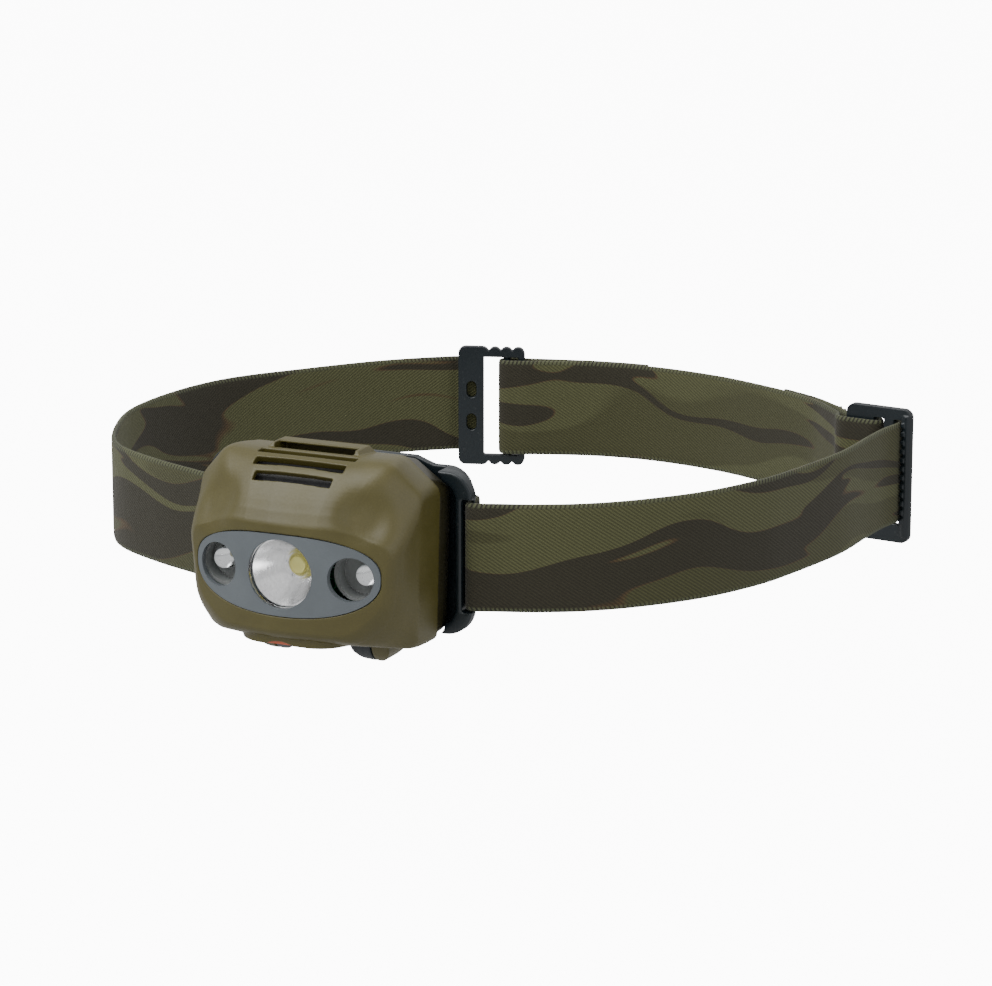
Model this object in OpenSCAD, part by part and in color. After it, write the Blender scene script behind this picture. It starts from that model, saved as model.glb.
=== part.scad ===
// Headlamp on an elastic head band. X runs left to right, -Y is the way the
// lamp shines, +Z is up. The origin lies between the bracket's two strap
// slots, at the middle of the webbing's height.

/* [Case] */
// Half width of the case at its widest, near the seam
case_half_w = 27.9; // [27:0.1:32]
// Height of the case's highest stretch above the strap's middle
case_top = 24.3; // [23:0.1:30]
// Depth of the case's flat bottom below the strap's middle
case_bottom = 19.3; // [18.5:0.1:20]
// Distance from the strap slots forward to the front of the lamp
case_front = 31; // [30:0.1:34]
// Distance from the strap slots back to the battery cover's rear face
case_rear = 3.2; // [2.5:0.1:3.6]
// Distance from the strap slots forward to the seam of the case
seam = 5; // [4:0.1:7]
// Gap between the two halves at the seam
seam_gap = 0.3; // [0.2:0.05:0.6]
// Wall thickness of both halves
wall = 1.8; // [1.2:0.1:2.2]
// Radius of the curved front in plan
front_curve = 60; // [50:1:90]

/* [Window and lights] */
// Half width of the eye-shaped bezel
bezel_half_w = 23.2; // [21.5:0.1:24]
// Height of the bezel above its own middle
bezel_up = 9.2; // [8.4:0.1:10]
// Depth of the bezel below its own middle
bezel_down = 9.7; // [8.6:0.1:10.4]
// Thickness of the bezel
bezel_t = 1.4; // [1:0.1:2]
// Gap round the bezel in its window
bezel_gap = 0.2; // [0.1:0.05:0.4]
// Height of the lamp axis from the strap's middle
lamp_z = -0.5; // [-2:0.1:1]
// Radius of the main reflector's mouth
reflector_r = 8; // [6.5:0.1:8.2]
// Depth of the main reflector
reflector_depth = 7.8; // [6.5:0.1:8]
// Distance of each small light from the middle
side_x = 18.1; // [16.5:0.1:18.4]
// Inner radius of the cup round each small light
cup_r = 5.1; // [4:0.1:5.3]
// Distance of each cup's middle from the lamp's middle
cup_x = 16.7; // [16:0.1:17.2]
// Radius of the small lights' domes
dome_r = 2.5; // [1.5:0.1:2.6]

/* [Button] */
// Half width of the guard round the power button
guard_half_w = 13.6; // [12:0.1:15]
// Half depth of the guard, front to back
guard_half_d = 8; // [7:0.1:8.4]
// Distance of the guard's middle in front of the strap slots
guard_y = 21; // [20:0.1:21.6]
// Wall of the guard
guard_wall = 1.6; // [1.2:0.1:2]
// Gap between the button and its guard
button_gap = 1.2; // [0.6:0.1:1.6]
// How far the button travels when pressed
button_travel = 0.8; // [0.4:0.1:1]

/* [Hinge] */
// Distance of the hinge axis in front of the strap slots
hinge_y = 5.5; // [5:0.1:6]
// Depth of the hinge axis below the strap's middle
hinge_z = 20; // [19.5:0.1:20.5]
// Radius of the hinge knuckles
knuckle_r = 5.5; // [5:0.1:5.8]
// Radius of the hinge pin
pin_r = 1.25; // [1:0.05:1.6]
// Clearance of the pin in its bores
pin_fit = 0.03; // [0.02:0.01:0.08]
// Where the bracket's knuckle starts, from the middle
knuckle_x = 7.4; // [7:0.1:8]
// Width of the bracket's knuckle
knuckle_w = 5.1; // [4:0.1:5.4]
// Width of the front half's hinge lug
lug_w = 4.4; // [4:0.1:5]
// Gap between neighbouring knuckles, and round them
knuckle_gap = 0.35; // [0.3:0.05:0.5]

/* [Batteries] */
// Diameter of one cell
cell_d = 10.5; // [10:0.1:10.6]
// Length of one cell
cell_len = 44.5; // [43:0.1:45]
// Distance between the axes of neighbouring cells
cell_pitch = 10.85; // [10.7:0.05:11]
// Height of the front cell's axis above the strap's middle
cell_z = 3.6; // [3:0.1:4]

/* [Bracket] */
// How far the bracket stands out beside the case
bracket_reach = 5.8; // [5.6:0.1:7]
// Height of the bracket's shoulders
shoulder_top = 19.4; // [18.5:0.1:22]
// Height of the bracket's tower
tower_top = 21; // [20.5:0.1:26]
// Depth of the bracket's lower edge
bracket_bottom = 18.8; // [18:0.1:20]
// Thickness of the bracket's back plate
plate_t = 1.8; // [1.4:0.1:2.4]
// Gap between the battery cover and the back plate
plate_gap = 1; // [0.6:0.1:1.4]
// How far the bracket's side walls reach in front of the strap slots
rim_reach = 1.4; // [0.5:0.1:2]
// Radius of the round bar that the webbing turns over
bar_r = 0.5; // [0.4:0.05:0.6]

/* [Strap] */
// Width of the webbing
strap_w = 25; // [20:0.5:26]
// Thickness of the webbing
strap_t = 1.3; // [1:0.1:1.6]
// Clearance of the webbing to what it passes
strap_fit = 0.2; // [0.15:0.05:0.35]
// How far the loop reaches to the right
loop_right = 92; // [85:1:110]
// How far the loop reaches to the left
loop_left = 86; // [80:1:105]
// Depth of the loop behind the strap slots
loop_depth = 154; // [140:1:180]

/* [Adjusters] */
// Height of the slider
slider_h = 32; // [30:0.5:36]
// Height of the ladder buckle
ladder_h = 34; // [32:0.5:36]
// How far the ladder buckle's middle lies below the webbing's
ladder_drop = 0.9; // [0:0.1:1.2]
// Thickness of both adjusters
adjuster_t = 2; // [1.6:0.1:2.4]
// Width of the slider at the back
slider_w = 17.6; // [17:0.1:20]
// Width of the ladder buckle at the right
ladder_w = 17.7; // [17:0.1:20]
// Height of the webbing slots over the webbing's own width
slot_spare = 1.4; // [0.8:0.1:2]

/* [Hidden] */

clear = 0.3;                       // between pieces that move past each other
eps = 0.01;
big = 200;
fnRound = 64;
fnHull = 28;
fnFront = 180;

olive = [0.42, 0.39, 0.24];
oliveDark = [0.30, 0.27, 0.17];
slate = [0.17, 0.21, 0.25];
webbing = [0.24, 0.22, 0.16];
greyBlue = [0.47, 0.50, 0.52];

plate_y = case_rear + plate_gap;   // front face of the bracket's back plate
plate_back = plate_y + plate_t;
slot_h = strap_w + slot_spare;

// ---- case ----

// One ring of balls: y of the ring's face, half widths at the top and the
// bottom, top, bottom, the four chamfer legs and the ball's radius.
rings = [
    [case_rear, -1, case_half_w - 1.1, case_half_w - 2.1, case_top - 3.3, case_bottom - 0.3,
        7.6, 5.4, 0.6, 0.6, 1.5],
    [-seam, 0, case_half_w - 0.3, case_half_w - 1.5, case_top - 1.3, case_bottom, 9, 6.8, 0.4, 0.4, 2.4],
    [-13, 0, case_half_w, case_half_w - 1.4, case_top, case_bottom - 0.3, 6.2, 7, 0.9, 0.9, 3],
    [-19.6, 0, case_half_w, case_half_w - 1.6, case_top - 0.9, case_bottom - 1.6, 5.2, 6, 3, 3, 4.6],
    [-25, 0, case_half_w - 2.6, case_half_w - 4.4, case_top - 3.6, case_bottom - 2.8, 5.4, 6, 4, 4, 5],
    [-case_front - 0.6, 1, 20.8, 19.8, 11.8, case_bottom - 4.7, 4, 3.4, 5, 4, 3.6]
];

module ring_balls(r, inset) {
    ball = r[10];
    y = r[0] + r[1] * ball;
    w = r[2] - ball;
    wb = r[3] - ball;
    top = r[4] - ball;
    low = -r[5] + ball;
    for (side = [-1, 1])
        for (p = [[w - r[6], top], [w, top - r[7]], [wb, low + r[9]], [wb - r[8], low]])
            translate([side * p[0], y, p[1]]) sphere(max(ball - inset, 0.15), $fn = fnHull);
}

module case_solid(inset = 0) {
    intersection() {
        hull() for (r = rings) ring_balls(r, inset);
        front_drum(inset);
    }
}

// Drum whose side is the lamp's curved front, sunk by inset
module front_drum(inset) {
    translate([0, front_curve - case_front, -big / 2])
        cylinder(h = big, r = front_curve - inset, $fn = fnFront);
}

module behind(y) translate([-big / 2, y, -big / 2]) cube([big, big, big]);
module before(y) translate([-big / 2, y - big, -big / 2]) cube([big, big, big]);

// A cylinder along X, round the hinge axis, from x0 to x1 on both sides
module hinge_disc(r, x0, x1) {
    for (side = [-1, 1])
        translate([side < 0 ? -x1 : x0, -hinge_y, -hinge_z]) rotate([0, 90, 0])
            cylinder(h = x1 - x0, r = r, $fn = fnRound);
}

lug_x = knuckle_x + knuckle_w + knuckle_gap;      // the front half's lugs
lug_end = lug_x + lug_w;
ear_end = knuckle_x - knuckle_gap;                // the cover's ears
ear_x = ear_end - 3.2;
ear_r = pin_r + 1.7;
ear_web = 3.4;
belly_r = 5.2;                                    // the knuckles' rounding, seen from the front
belly_x = (knuckle_x + lug_end) / 2;
pocket_wall = 1.2;
pocket_r = knuckle_r + knuckle_gap;

// The rounding of both hinges' undersides, seen from the front
module bellies() {
    for (side = [-1, 1])
        translate([side * belly_x, 0, -hinge_z - knuckle_r + belly_r]) rotate([90, 0, 0])
            cylinder(h = big, r = belly_r, center = true, $fn = fnRound);
}

// Walls that close the case round the hinge, and the room that they leave
module hinge_pockets() {
    hinge_disc(pocket_r + pocket_wall, knuckle_x - knuckle_gap - pocket_wall,
        lug_end + knuckle_gap + pocket_wall);
    hinge_disc(ear_r + knuckle_gap + pocket_wall, ear_x - knuckle_gap - pocket_wall, ear_end + pocket_wall);
}

// The case's wall with the hinge pockets, whole
module case_wall() {
    intersection() {
        case_solid(0);
        union() {
            difference() {
                cube(big, center = true);
                case_solid(wall);
            }
            hinge_pockets();
        }
    }
}

// Eye-shaped outline of the window, grown by g
function eye_edge(g, up, n, a) = let(c = cos(a), s = sin(a))
    [sign(c) * (bezel_half_w + g) * pow(abs(c), 2 / n), (up + g) * pow(abs(s), 2 / n)];
eye_top_n = 2.5;
eye_low_n = 2.3;
function eye(g) = concat([for (a = [0:6:180]) eye_edge(g, bezel_up, eye_top_n, a)],
    [for (a = [174:-6:6]) let(p = eye_edge(g, bezel_down, eye_low_n, a)) [p[0], -p[1]]]);

module eye_prism(g) {
    translate([0, 0, lamp_z]) rotate([90, 0, 0]) linear_extrude(height = case_front + 5) polygon(eye(g));
}

// Stadium with its long side along X
module stadium(half_w, r) {
    union() {
        square([2 * (half_w - r), 2 * r], center = true);
        for (side = [-1, 1]) translate([side * (half_w - r), 0]) circle(r, $fn = fnRound);
    }
}

// Vents: y, height of the surface, its slope and the slot's half length
vents = [[-24.4, 20.9, 38, 9.8], [-20.4, 22.8, 22, 11.4], [-16.2, 23.9, 8, 12.4], [-11.4, 24.8, 0, 10.2]];
vent_w = 2;
rib_half_w = 13;
rib_h = 0.9;
rib_front = 14;
rib_slope = [2, 1.5, 0.5];         // how far the rib's top draws in: sides, front, rear
vent_deep = 5;

module vent_cuts() {
    for (v = vents)
        translate([0, v[0], v[1]]) rotate([v[2], 0, 0])
            cube([2 * v[3], vent_w, vent_deep], center = true);
}

module vent_rib() {
    foot_front = -rib_front + 1;
    foot_rear = -seam - seam_gap / 2 - 0.4;
    half_w = rib_half_w - rib_slope[0];
    front = foot_front + rib_slope[1];
    hull() {
        translate([-rib_half_w, foot_front, case_top - wall])
            cube([2 * rib_half_w, foot_rear - foot_front, wall]);
        translate([-half_w, front, case_top])
            cube([2 * half_w, foot_rear - rib_slope[2] - front, rib_h]);
    }
}

guard_low = 17.6;
guard_sink = 0.3;                  // of the guard's front behind the curved front
cup_roof = 15.2;
roof_t = 1.8;
scallop_x = -1.3;
scallop_r = 8;
scallop_top = 16.8;
stem_r = 2;
stem_gap = 0.3;

module guard_solid(low, high, shrink) {
    translate([0, -guard_y, -low]) linear_extrude(height = low - high)
        stadium(guard_half_w - shrink, guard_half_d - shrink);
}

module front_shell() {
    color(olive) difference() {
        union() {
            intersection() {
                case_wall();
                before(-seam - seam_gap / 2);
            }
            vent_rib();
            intersection() {
                guard_solid(guard_low, cup_roof - roof_t, 0);
                front_drum(guard_sink);
            }
            intersection() {
                union() {
                    hinge_disc(knuckle_r, lug_x, lug_end);
                    lug_webs();
                }
                bellies();
            }
        }
        // room for the vent's slots, window, button cup and hinge
        vent_cuts();
        eye_prism(bezel_gap);
        guard_solid(guard_low + 1, cup_roof, guard_wall);
        scallop();
        translate([0, -guard_y, -cup_roof - 1])
            cylinder(h = roof_t + 2, r = stem_r + stem_gap, $fn = fnRound);
        hinge_disc(pocket_r, knuckle_x - knuckle_gap, knuckle_x + knuckle_w + knuckle_gap);
        hinge_disc(ear_r + knuckle_gap, ear_x - knuckle_gap, ear_end + knuckle_gap / 2);
        hinge_disc(pin_r + pin_fit, 0, lug_end + 1);
    }
}

// Webs from the lugs forward into the shell's floor
web_front = 12;
web_side = [[-hinge_y, -hinge_z - knuckle_r], [-hinge_y - 3.9, -hinge_z - 3.9],
    [-web_front, -case_bottom + 0.4], [-web_front, -case_bottom + 1.6],
    [-seam - seam_gap / 2, -case_bottom + 1.2], [-seam - seam_gap / 2, -hinge_z]];
module lug_webs() {
    for (side = [-1, 1])
        translate([side < 0 ? -lug_end : lug_x, 0, 0]) rotate([90, 0, 90])
            linear_extrude(height = lug_w) polygon(web_side);
}

// Finger dip in the guard's front wall
module scallop() {
    translate([scallop_x, -guard_y, -scallop_top - scallop_r]) rotate([90, 0, 0])
        cylinder(h = 20, r = scallop_r, $fn = fnRound);
}

module bezel() {
    color(greyBlue) difference() {
        intersection() {
            eye_prism(0);
            difference() {
                front_drum(0);
                front_drum(bezel_t);
            }
        }
        lamp_bore(0, reflector_r);
        for (side = [-1, 1]) lamp_bore(side * cup_x, cup_r);
    }
}

module lamp_bore(x, r) {
    translate([x, 0, lamp_z]) rotate([90, 0, 0]) cylinder(h = case_front + 5, r = r, $fn = fnRound);
}

// Something round, with its axis along the lamp's and its face at y
module facing(x, y) translate([x, y, lamp_z]) rotate([90, 0, 0]) children();

lens_t = 0.8;
lens_y = -case_front + bezel_t + 0.1;        // rear face of the main lens
module main_lens() {
    color([0.9, 0.95, 1, 0.35]) facing(0, lens_y)
        cylinder(h = lens_t, r = reflector_r - 0.1, $fn = fnRound);
}

reflector_t = 0.7;
reflector_y = front_at(reflector_r + 0.5) + 0.1;      // front rim of the reflector
throat_r = 2.2;
function bowl(z) = throat_r + (reflector_r - 0.4 - throat_r) * pow(z / reflector_depth, 0.75);
module reflector() {
    rim = [for (i = [0:12]) let(z = reflector_depth * i / 12) [bowl(z), z]];
    back = [for (i = [12:-1:0]) let(z = reflector_depth * i / 12) [bowl(z) + reflector_t, z]];
    color([0.85, 0.86, 0.88]) facing(0, reflector_y + reflector_depth)
        rotate_extrude($fn = fnRound) polygon(concat(rim, back));
}

board_y = reflector_y + reflector_depth + 0.7;    // front face of the light board
board_t = 1.2;
chip_w = 5;
chip_r = 1.9;
module main_led() {
    color([0.9, 0.85, 0.2]) union() {
        translate([-chip_w / 2, board_y - 0.5, lamp_z - chip_w / 2]) cube([chip_w, 0.5, chip_w]);
        facing(0, board_y - 0.5 + eps) cylinder(h = 1, r = chip_r, $fn = fnRound);
    }
}

board_half_w = side_x + cup_r - 0.3;
board_half_h = 8.4;
screw_x = 11.5;
screw_z = -6.6;                                   // from the lamp's axis
screw_r = 0.8;
screw_head = 0.8;
module led_board() {
    color([0.25, 0.35, 0.28]) difference() {
        translate([-board_half_w, board_y, lamp_z - board_half_h])
            cube([2 * board_half_w, board_t, 2 * board_half_h]);
        for (side = [-1, 1]) facing(side * screw_x, board_y + board_t + 1) translate([0, screw_z, 0])
            cylinder(h = board_t + 2, r = screw_r + 0.1, $fn = fnRound);
    }
}

module board_screws() {
    color("silver") for (side = [-1, 1]) facing(side * screw_x, board_y + board_t + screw_head)
        translate([0, screw_z, 0]) union() {
            cylinder(h = screw_head, r = screw_r + 0.8, $fn = fnRound);
            cylinder(h = screw_head + board_t + 2.4, r = screw_r, $fn = fnRound);
        }
}

cup_wall = 0.7;
function front_at(x) = front_curve - case_front - sqrt(pow(front_curve - bezel_t, 2) - x * x);
cup_floor = 0.8;
module led_cup(side) {
    mouth = front_at(cup_x + cup_r + cup_wall) + 0.1;
    deep = board_y - mouth;
    color([0.29, 0.31, 0.31]) difference() {
        facing(side * cup_x, board_y - eps) cylinder(h = deep, r = cup_r + cup_wall, $fn = fnRound);
        facing(side * cup_x, board_y - cup_floor) cylinder(h = 2 * deep, r = cup_r, $fn = fnRound);
        facing(side * side_x, board_y + 1) cylinder(h = 2 * deep, r = dome_r + 0.15, $fn = fnRound);
    }
}
module led_cup_left() led_cup(-1);
module led_cup_right() led_cup(1);

dome_len = 2.4;
module side_led(side) {
    color([0.9, 0.92, 0.95, 0.6]) facing(side * side_x, board_y) union() {
        cylinder(h = dome_len, r = dome_r, $fn = fnRound);
        translate([0, 0, dome_len]) difference() {
            sphere(dome_r, $fn = fnRound);
            translate([0, 0, -dome_r - dome_len / 2]) cube(2 * dome_r, center = true);
        }
    }
}
module side_led_left() side_led(-1);
module side_led_right() side_led(1);

// Ridged plate under the vents that keeps dirt out
baffle_half_w = 13;
baffle_t = 0.8;
baffle_low = [-24, 16.4];          // y and height of its front edge
baffle_turn = 31;
baffle_flat = [-17.95, 20.2];      // y and height of its level part's front edge
baffle_len = 7;
module vent_baffle() {
    color(oliveDark) translate([-baffle_half_w, baffle_low[0], baffle_low[1]]) rotate([baffle_turn, 0, 0])
        cube([2 * baffle_half_w, baffle_len, baffle_t]);
    color(oliveDark) translate([-baffle_half_w, baffle_flat[0], baffle_flat[1]])
        cube([2 * baffle_half_w, baffle_len - 0.1, baffle_t]);
}

circuit_z = 11.6;               // underside of the circuit board
circuit_t = 1.2;
circuit_front = 26;
circuit_rear = 12.4;
circuit_half_w = 15;
module circuit_board() {
    color([0.10, 0.32, 0.18]) translate([-circuit_half_w, -circuit_front, -circuit_z])
        cube([2 * circuit_half_w, circuit_front - circuit_rear, circuit_t]);
}

switch_h = 1.2;
switch_w = 6;
plunger_r = 1.4;
module tact_switch() {
    low = -circuit_z - switch_h;
    color([0.2, 0.2, 0.22]) difference() {
        translate([-switch_w / 2, -guard_y - switch_w / 2, low]) cube([switch_w, switch_w, switch_h]);
        translate([0, -guard_y, low - 1]) cylinder(h = switch_h + 1.1, r = plunger_r + 0.1, $fn = fnRound);
    }
}

plunger_top = circuit_z + 0.2 + button_travel + 0.1;
stem_top = circuit_z + switch_h + button_travel + 0.15;
module switch_plunger() {
    color([0.7, 0.15, 0.1]) translate([0, -guard_y, -stem_top])
        cylinder(h = stem_top - plunger_top, r = plunger_r, $fn = fnRound);
}

cap_low = 18.3;
cap_h = 1.85;
module power_button() {
    color([0.80, 0.25, 0.12]) union() {
        translate([0, -guard_y, -cap_low]) linear_extrude(height = cap_h)
            stadium(guard_half_w - guard_wall - button_gap, guard_half_d - guard_wall - button_gap);
        translate([0, -guard_y, -cap_low + cap_h - eps])
            cylinder(h = cap_low - cap_h - stem_top + eps, r = stem_r, $fn = fnRound);
    }
}

// Soft ring on the roof of the cup, round the button's stem
module button_seal() {
    color([0.12, 0.12, 0.12]) translate([0, -guard_y, -cup_roof + roof_t]) difference() {
        cylinder(h = 0.3, r = stem_r + 2, $fn = fnRound);
        translate([0, 0, -1]) cylinder(h = 3, r = stem_r + 0.1, $fn = fnRound);
    }
}

// ---- batteries ----

// Axes of the cells: two at the back, one above the other, and one in front
cell_back_y = -4.1;
cell_step = sqrt(pow(cell_pitch, 2) - pow(cell_pitch / 2, 2));
cells = [[cell_back_y, cell_z + cell_pitch / 2], [cell_back_y - cell_step, cell_z],
    [cell_back_y, cell_z - cell_pitch / 2]];
nub_r = 1.9;
nub_h = 0.9;
module cell(i) {
    turn = i % 2 == 0 ? 1 : -1;
    color([0.35, 0.37, 0.40]) translate([0, cells[i][0], cells[i][1]]) rotate([0, turn * 90, 0]) union() {
        translate([0, 0, -cell_len / 2]) cylinder(h = cell_len - nub_h, r = cell_d / 2, $fn = fnRound);
        translate([0, 0, -cell_len / 2]) cylinder(h = cell_len, r = nub_r, $fn = fnRound);
    }
}
module battery_upper() cell(0);
module battery_front() cell(1);
module battery_lower() cell(2);

// Tray with a hollow for each cell, open at the back
tray_fit = 0.15;
tray_back = -7.2;
tray_front = cells[1][0] - cell_d / 2 + 0.4;
tray_end = 0.8;
tray_half_h = 9.2;
contact_t = 0.3;
contact_room = 1.2;                       // between a cell's end and its contact
contact_x = cell_len / 2 + 0.05 + contact_room;
tray_link = [3.6, 1.4];                   // width and height of the links to the end walls
module battery_tray() {
    deep = tray_back - tray_front;
    low = cell_z - tray_half_h;
    high = 2 * tray_half_h;
    end_x = contact_x + contact_t + tray_end / 2 + 0.05;
    color([0.16, 0.16, 0.17]) difference() {
        union() {
            translate([-cell_len / 2 + 1, tray_front, low]) cube([cell_len - 2, deep, high]);
            for (side = [-1, 1])
                translate([side * end_x - tray_end / 2, tray_front, low]) cube([tray_end, deep, high]);
            for (side = [-1, 1], up = [0, high - tray_link[1]])
                translate([side * (cell_len / 2 + 0.6) - tray_link[0] / 2, tray_front, low + up])
                    cube([tray_link[0], deep, tray_link[1]]);
        }
        for (c = cells)
            translate([-cell_len / 2 - 1, c[0], c[1]]) rotate([0, 90, 0])
                cylinder(h = cell_len + 2, r = cell_d / 2 + tray_fit, $fn = fnRound);
    }
}

contact_w = 6;
module contact_plates() {
    half_w = contact_w / 2;
    color("silver") for (c = cells, side = [-1, 1])
        translate([side > 0 ? contact_x : -contact_x - contact_t, c[0] - half_w, c[1] - half_w])
            cube([contact_t, contact_w, contact_w]);
}

// Spring on the flat end and a stud on the nub end of each cell
stud_r = 1.2;
module contact_springs() {
    color("silver") for (i = [0:2]) {
        turn = i % 2 == 0 ? 1 : -1;
        translate([-turn * contact_x, cells[i][0], cells[i][1]]) rotate([0, turn * 90, 0]) spring_stack();
        translate([turn * (contact_x - contact_room), cells[i][0], cells[i][1]]) rotate([0, turn * 90, 0])
            cylinder(h = contact_room, r = stud_r, $fn = fnRound);
    }
}
coils = 3;
coil_r = 3;
coil_step = 0.5;                          // each turn is this much smaller than the last
wire_w = 0.8;
module spring_stack() {
    pitch = contact_room / coils;
    for (k = [0:coils - 1]) translate([0, 0, k * pitch]) difference() {
        cylinder(h = pitch, r = coil_r - coil_step * k, $fn = fnRound);
        translate([0, 0, -pitch])
            cylinder(h = 3 * pitch, r = coil_r - wire_w - coil_step * k, $fn = fnRound);
    }
}

// ---- battery cover ----

module battery_cover() {
    color(oliveDark) difference() {
        union() {
            intersection() {
                case_wall();
                behind(-seam + seam_gap / 2);
            }
            hinge_disc(ear_r, ear_x, ear_end);
            for (side = [-1, 1])
                translate([side < 0 ? -ear_end : ear_x, -hinge_y - 0.8, -hinge_z])
                    cube([ear_end - ear_x, ear_web, hinge_z - case_bottom + 1]);
        }
        hinge_disc(pocket_r, knuckle_x - knuckle_gap, lug_end + knuckle_gap);
        hinge_disc(pin_r + pin_fit, 0, lug_end + 1);
    }
}

seal_t = 0.9;
module seal_ring() {
    color([0.08, 0.08, 0.08]) difference() {
        intersection() {
            case_solid(wall + 0.1);
            behind(-seam - 1);
            before(-seam + 1.4);
        }
        case_solid(wall + 0.1 + seal_t);
        hinge_disc(pocket_r + pocket_wall + clear, 0, lug_end + knuckle_gap + pocket_wall + clear);
    }
}

// ---- bracket ----

module hinge_pin() {
    color("silver") translate([-lug_end + 0.5, -hinge_y, -hinge_z]) rotate([0, 90, 0])
        cylinder(h = 2 * lug_end - 1, r = pin_r, $fn = fnRound);
}

shoulder_r = 6;
foot_r = 6.5;
tower_half_w = 16.8;
bracket_half_w = case_half_w + bracket_reach;
side_in = case_half_w + 1.7;     // inner face of the side walls
side_out = case_half_w + 3.2;    // outer face of the side walls, at the slots
bar_x = bracket_half_w - bar_r;
bar_y = 0.7;
slot_w = 10;
step_y = 1.6;                    // the bracket is narrower behind this
module bracket_outline(half_w) {
    union() {
        polygon([[-half_w + shoulder_r, shoulder_top], [-tower_half_w - 4.6, shoulder_top],
            [-tower_half_w - 1.4, tower_top - 0.5], [-tower_half_w, tower_top], [tower_half_w, tower_top],
            [tower_half_w + 1.4, tower_top - 0.5], [tower_half_w + 4.6, shoulder_top],
            [half_w - shoulder_r, shoulder_top], [half_w, shoulder_top - shoulder_r],
            [half_w, -bracket_bottom + foot_r], [half_w - foot_r, -bracket_bottom],
            [-half_w + foot_r, -bracket_bottom], [-half_w, -bracket_bottom + foot_r],
            [-half_w, shoulder_top - shoulder_r]]);
        for (side = [-1, 1]) {
            translate([side * (half_w - shoulder_r), shoulder_top - shoulder_r])
                circle(shoulder_r, $fn = fnRound);
            translate([side * (half_w - foot_r), -bracket_bottom + foot_r])
                circle(foot_r, $fn = fnRound);
        }
    }
}

// The hollow inside the bracket's rim
dish_r = 4.6;
rim_gap = 50;                    // the rim has no top or bottom between here
rim_top_w = 2;
dish_gap = 0.7;                  // all round the case
dish_lift = 0.9;                 // more room above the case, for the swing
module dish() {
    low = -bracket_bottom + rim_top_w + dish_r;
    high = shoulder_top - rim_top_w - dish_r;
    union() {
        upright(-big / 2, big / 2) union() {
            translate([-side_in, low]) square([2 * side_in, high - low]);
            translate([-side_in + dish_r, low - dish_r])
                square([2 * (side_in - dish_r), high - low + 2 * dish_r]);
            for (side = [-1, 1], z = [low, high])
                translate([side * (side_in - dish_r), z]) circle(dish_r, $fn = fnRound);
        }
    }
}

// Extrudes a front-view outline from y0 back to y1
module upright(y0, y1) translate([0, y1, 0]) rotate([90, 0, 0]) linear_extrude(height = y1 - y0) children();

module bracket() {
    color(slate) difference() {
        union() {
            upright(plate_y, plate_back) bracket_outline(side_out);
            difference() {
                union() {
                    upright(-rim_reach, step_y) bracket_outline(bracket_half_w);
                    upright(step_y - eps, plate_y + eps) bracket_outline(side_out);
                }
                dish();
                translate([-rim_gap / 2, -big / 2, -big / 2]) cube([rim_gap, big, big]);
                case_solid(-dish_gap);
                translate([0, 0, dish_lift]) case_solid(-dish_gap);
            }
            intersection() {
                hinge_arms();
                bellies();
            }
        }
        // webbing slots, each with a round bar left outside it
        for (side = [-1, 1])
            translate([side * (side_out + slot_w / 2), 0, 0]) cube([slot_w, big, slot_h], center = true);
        hinge_disc(pin_r + pin_fit, 0, lug_end);
        knuckle_grooves();
    }
    color(slate) for (side = [-1, 1])
        translate([side * bar_x, bar_y, -slot_h / 2 - 0.5])
            cylinder(h = slot_h + 1, r = bar_r, $fn = fnRound);
}

// Arms that carry the lamp under the case, ending in ribbed knuckles
arm_top = 0.6;
arm_side = [[-hinge_y, -hinge_z - knuckle_r], [plate_y, -hinge_z - knuckle_r + 0.6],
    [plate_back, -hinge_z - knuckle_r + 2], [plate_back, -bracket_bottom + 1],
    [plate_y, -bracket_bottom + 1], [plate_y, -case_bottom - arm_top],
    [-hinge_y + 4, -case_bottom - arm_top], [-hinge_y, -hinge_z]];
module hinge_arms() {
    hinge_disc(knuckle_r, knuckle_x, knuckle_x + knuckle_w);
    for (side = [-1, 1])
        translate([side < 0 ? -knuckle_x - knuckle_w : knuckle_x, 0, 0]) rotate([90, 0, 90])
            linear_extrude(height = knuckle_w) polygon(arm_side);
}

grooves = 6;
groove_w = 0.3;
groove_deep = 0.35;
module knuckle_grooves() {
    pitch = knuckle_w / grooves;
    for (side = [-1, 1], k = [1:grooves - 1])
        translate([side * (knuckle_x + k * pitch), -hinge_y, -hinge_z]) rotate([0, 90, 0]) difference() {
            cylinder(h = groove_w, r = knuckle_r + 1, center = true, $fn = fnRound);
            cylinder(h = 1, r = knuckle_r - groove_deep, center = true, $fn = fnRound);
            translate([-1, 0, -1]) cube([big, big, 2]);
        }
}

// ---- webbing ----

function catmull(a, b, c, d, t) = 0.5 * (2 * b + (c - a) * t + (2 * a - 5 * b + 4 * c - d) * t * t
    + (3 * b - a - 3 * c + d) * t * t * t);
function spline(p, n) = let(last = len(p) - 1) concat([for (i = [0:last - 1], k = [0:n - 1])
    catmull(p[max(i - 1, 0)], p[i], p[i + 1], p[min(i + 2, last)], k / n)], [p[last]]);
function arc(c, r, a0, a1, n) = [for (i = [0:n]) let(a = a0 + (a1 - a0) * i / n) c + r * [cos(a), sin(a)]];
function tangent(p, i) = let(v = p[min(i + 1, len(p) - 1)] - p[max(i - 1, 0)]) v / norm(v);
function beside(p, off) = [for (i = [0:len(p) - 1]) let(t = tangent(p, i)) p[i] + off * [-t[1], t[0]]];
function flip(p) = [for (i = [len(p) - 1:-1:0]) p[i]];

module webbing_band(path) {
    color(webbing) translate([0, 0, -strap_w / 2]) linear_extrude(height = strap_w)
        polygon(concat(beside(path, strap_t / 2), flip(beside(path, -strap_t / 2))));
}

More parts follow.
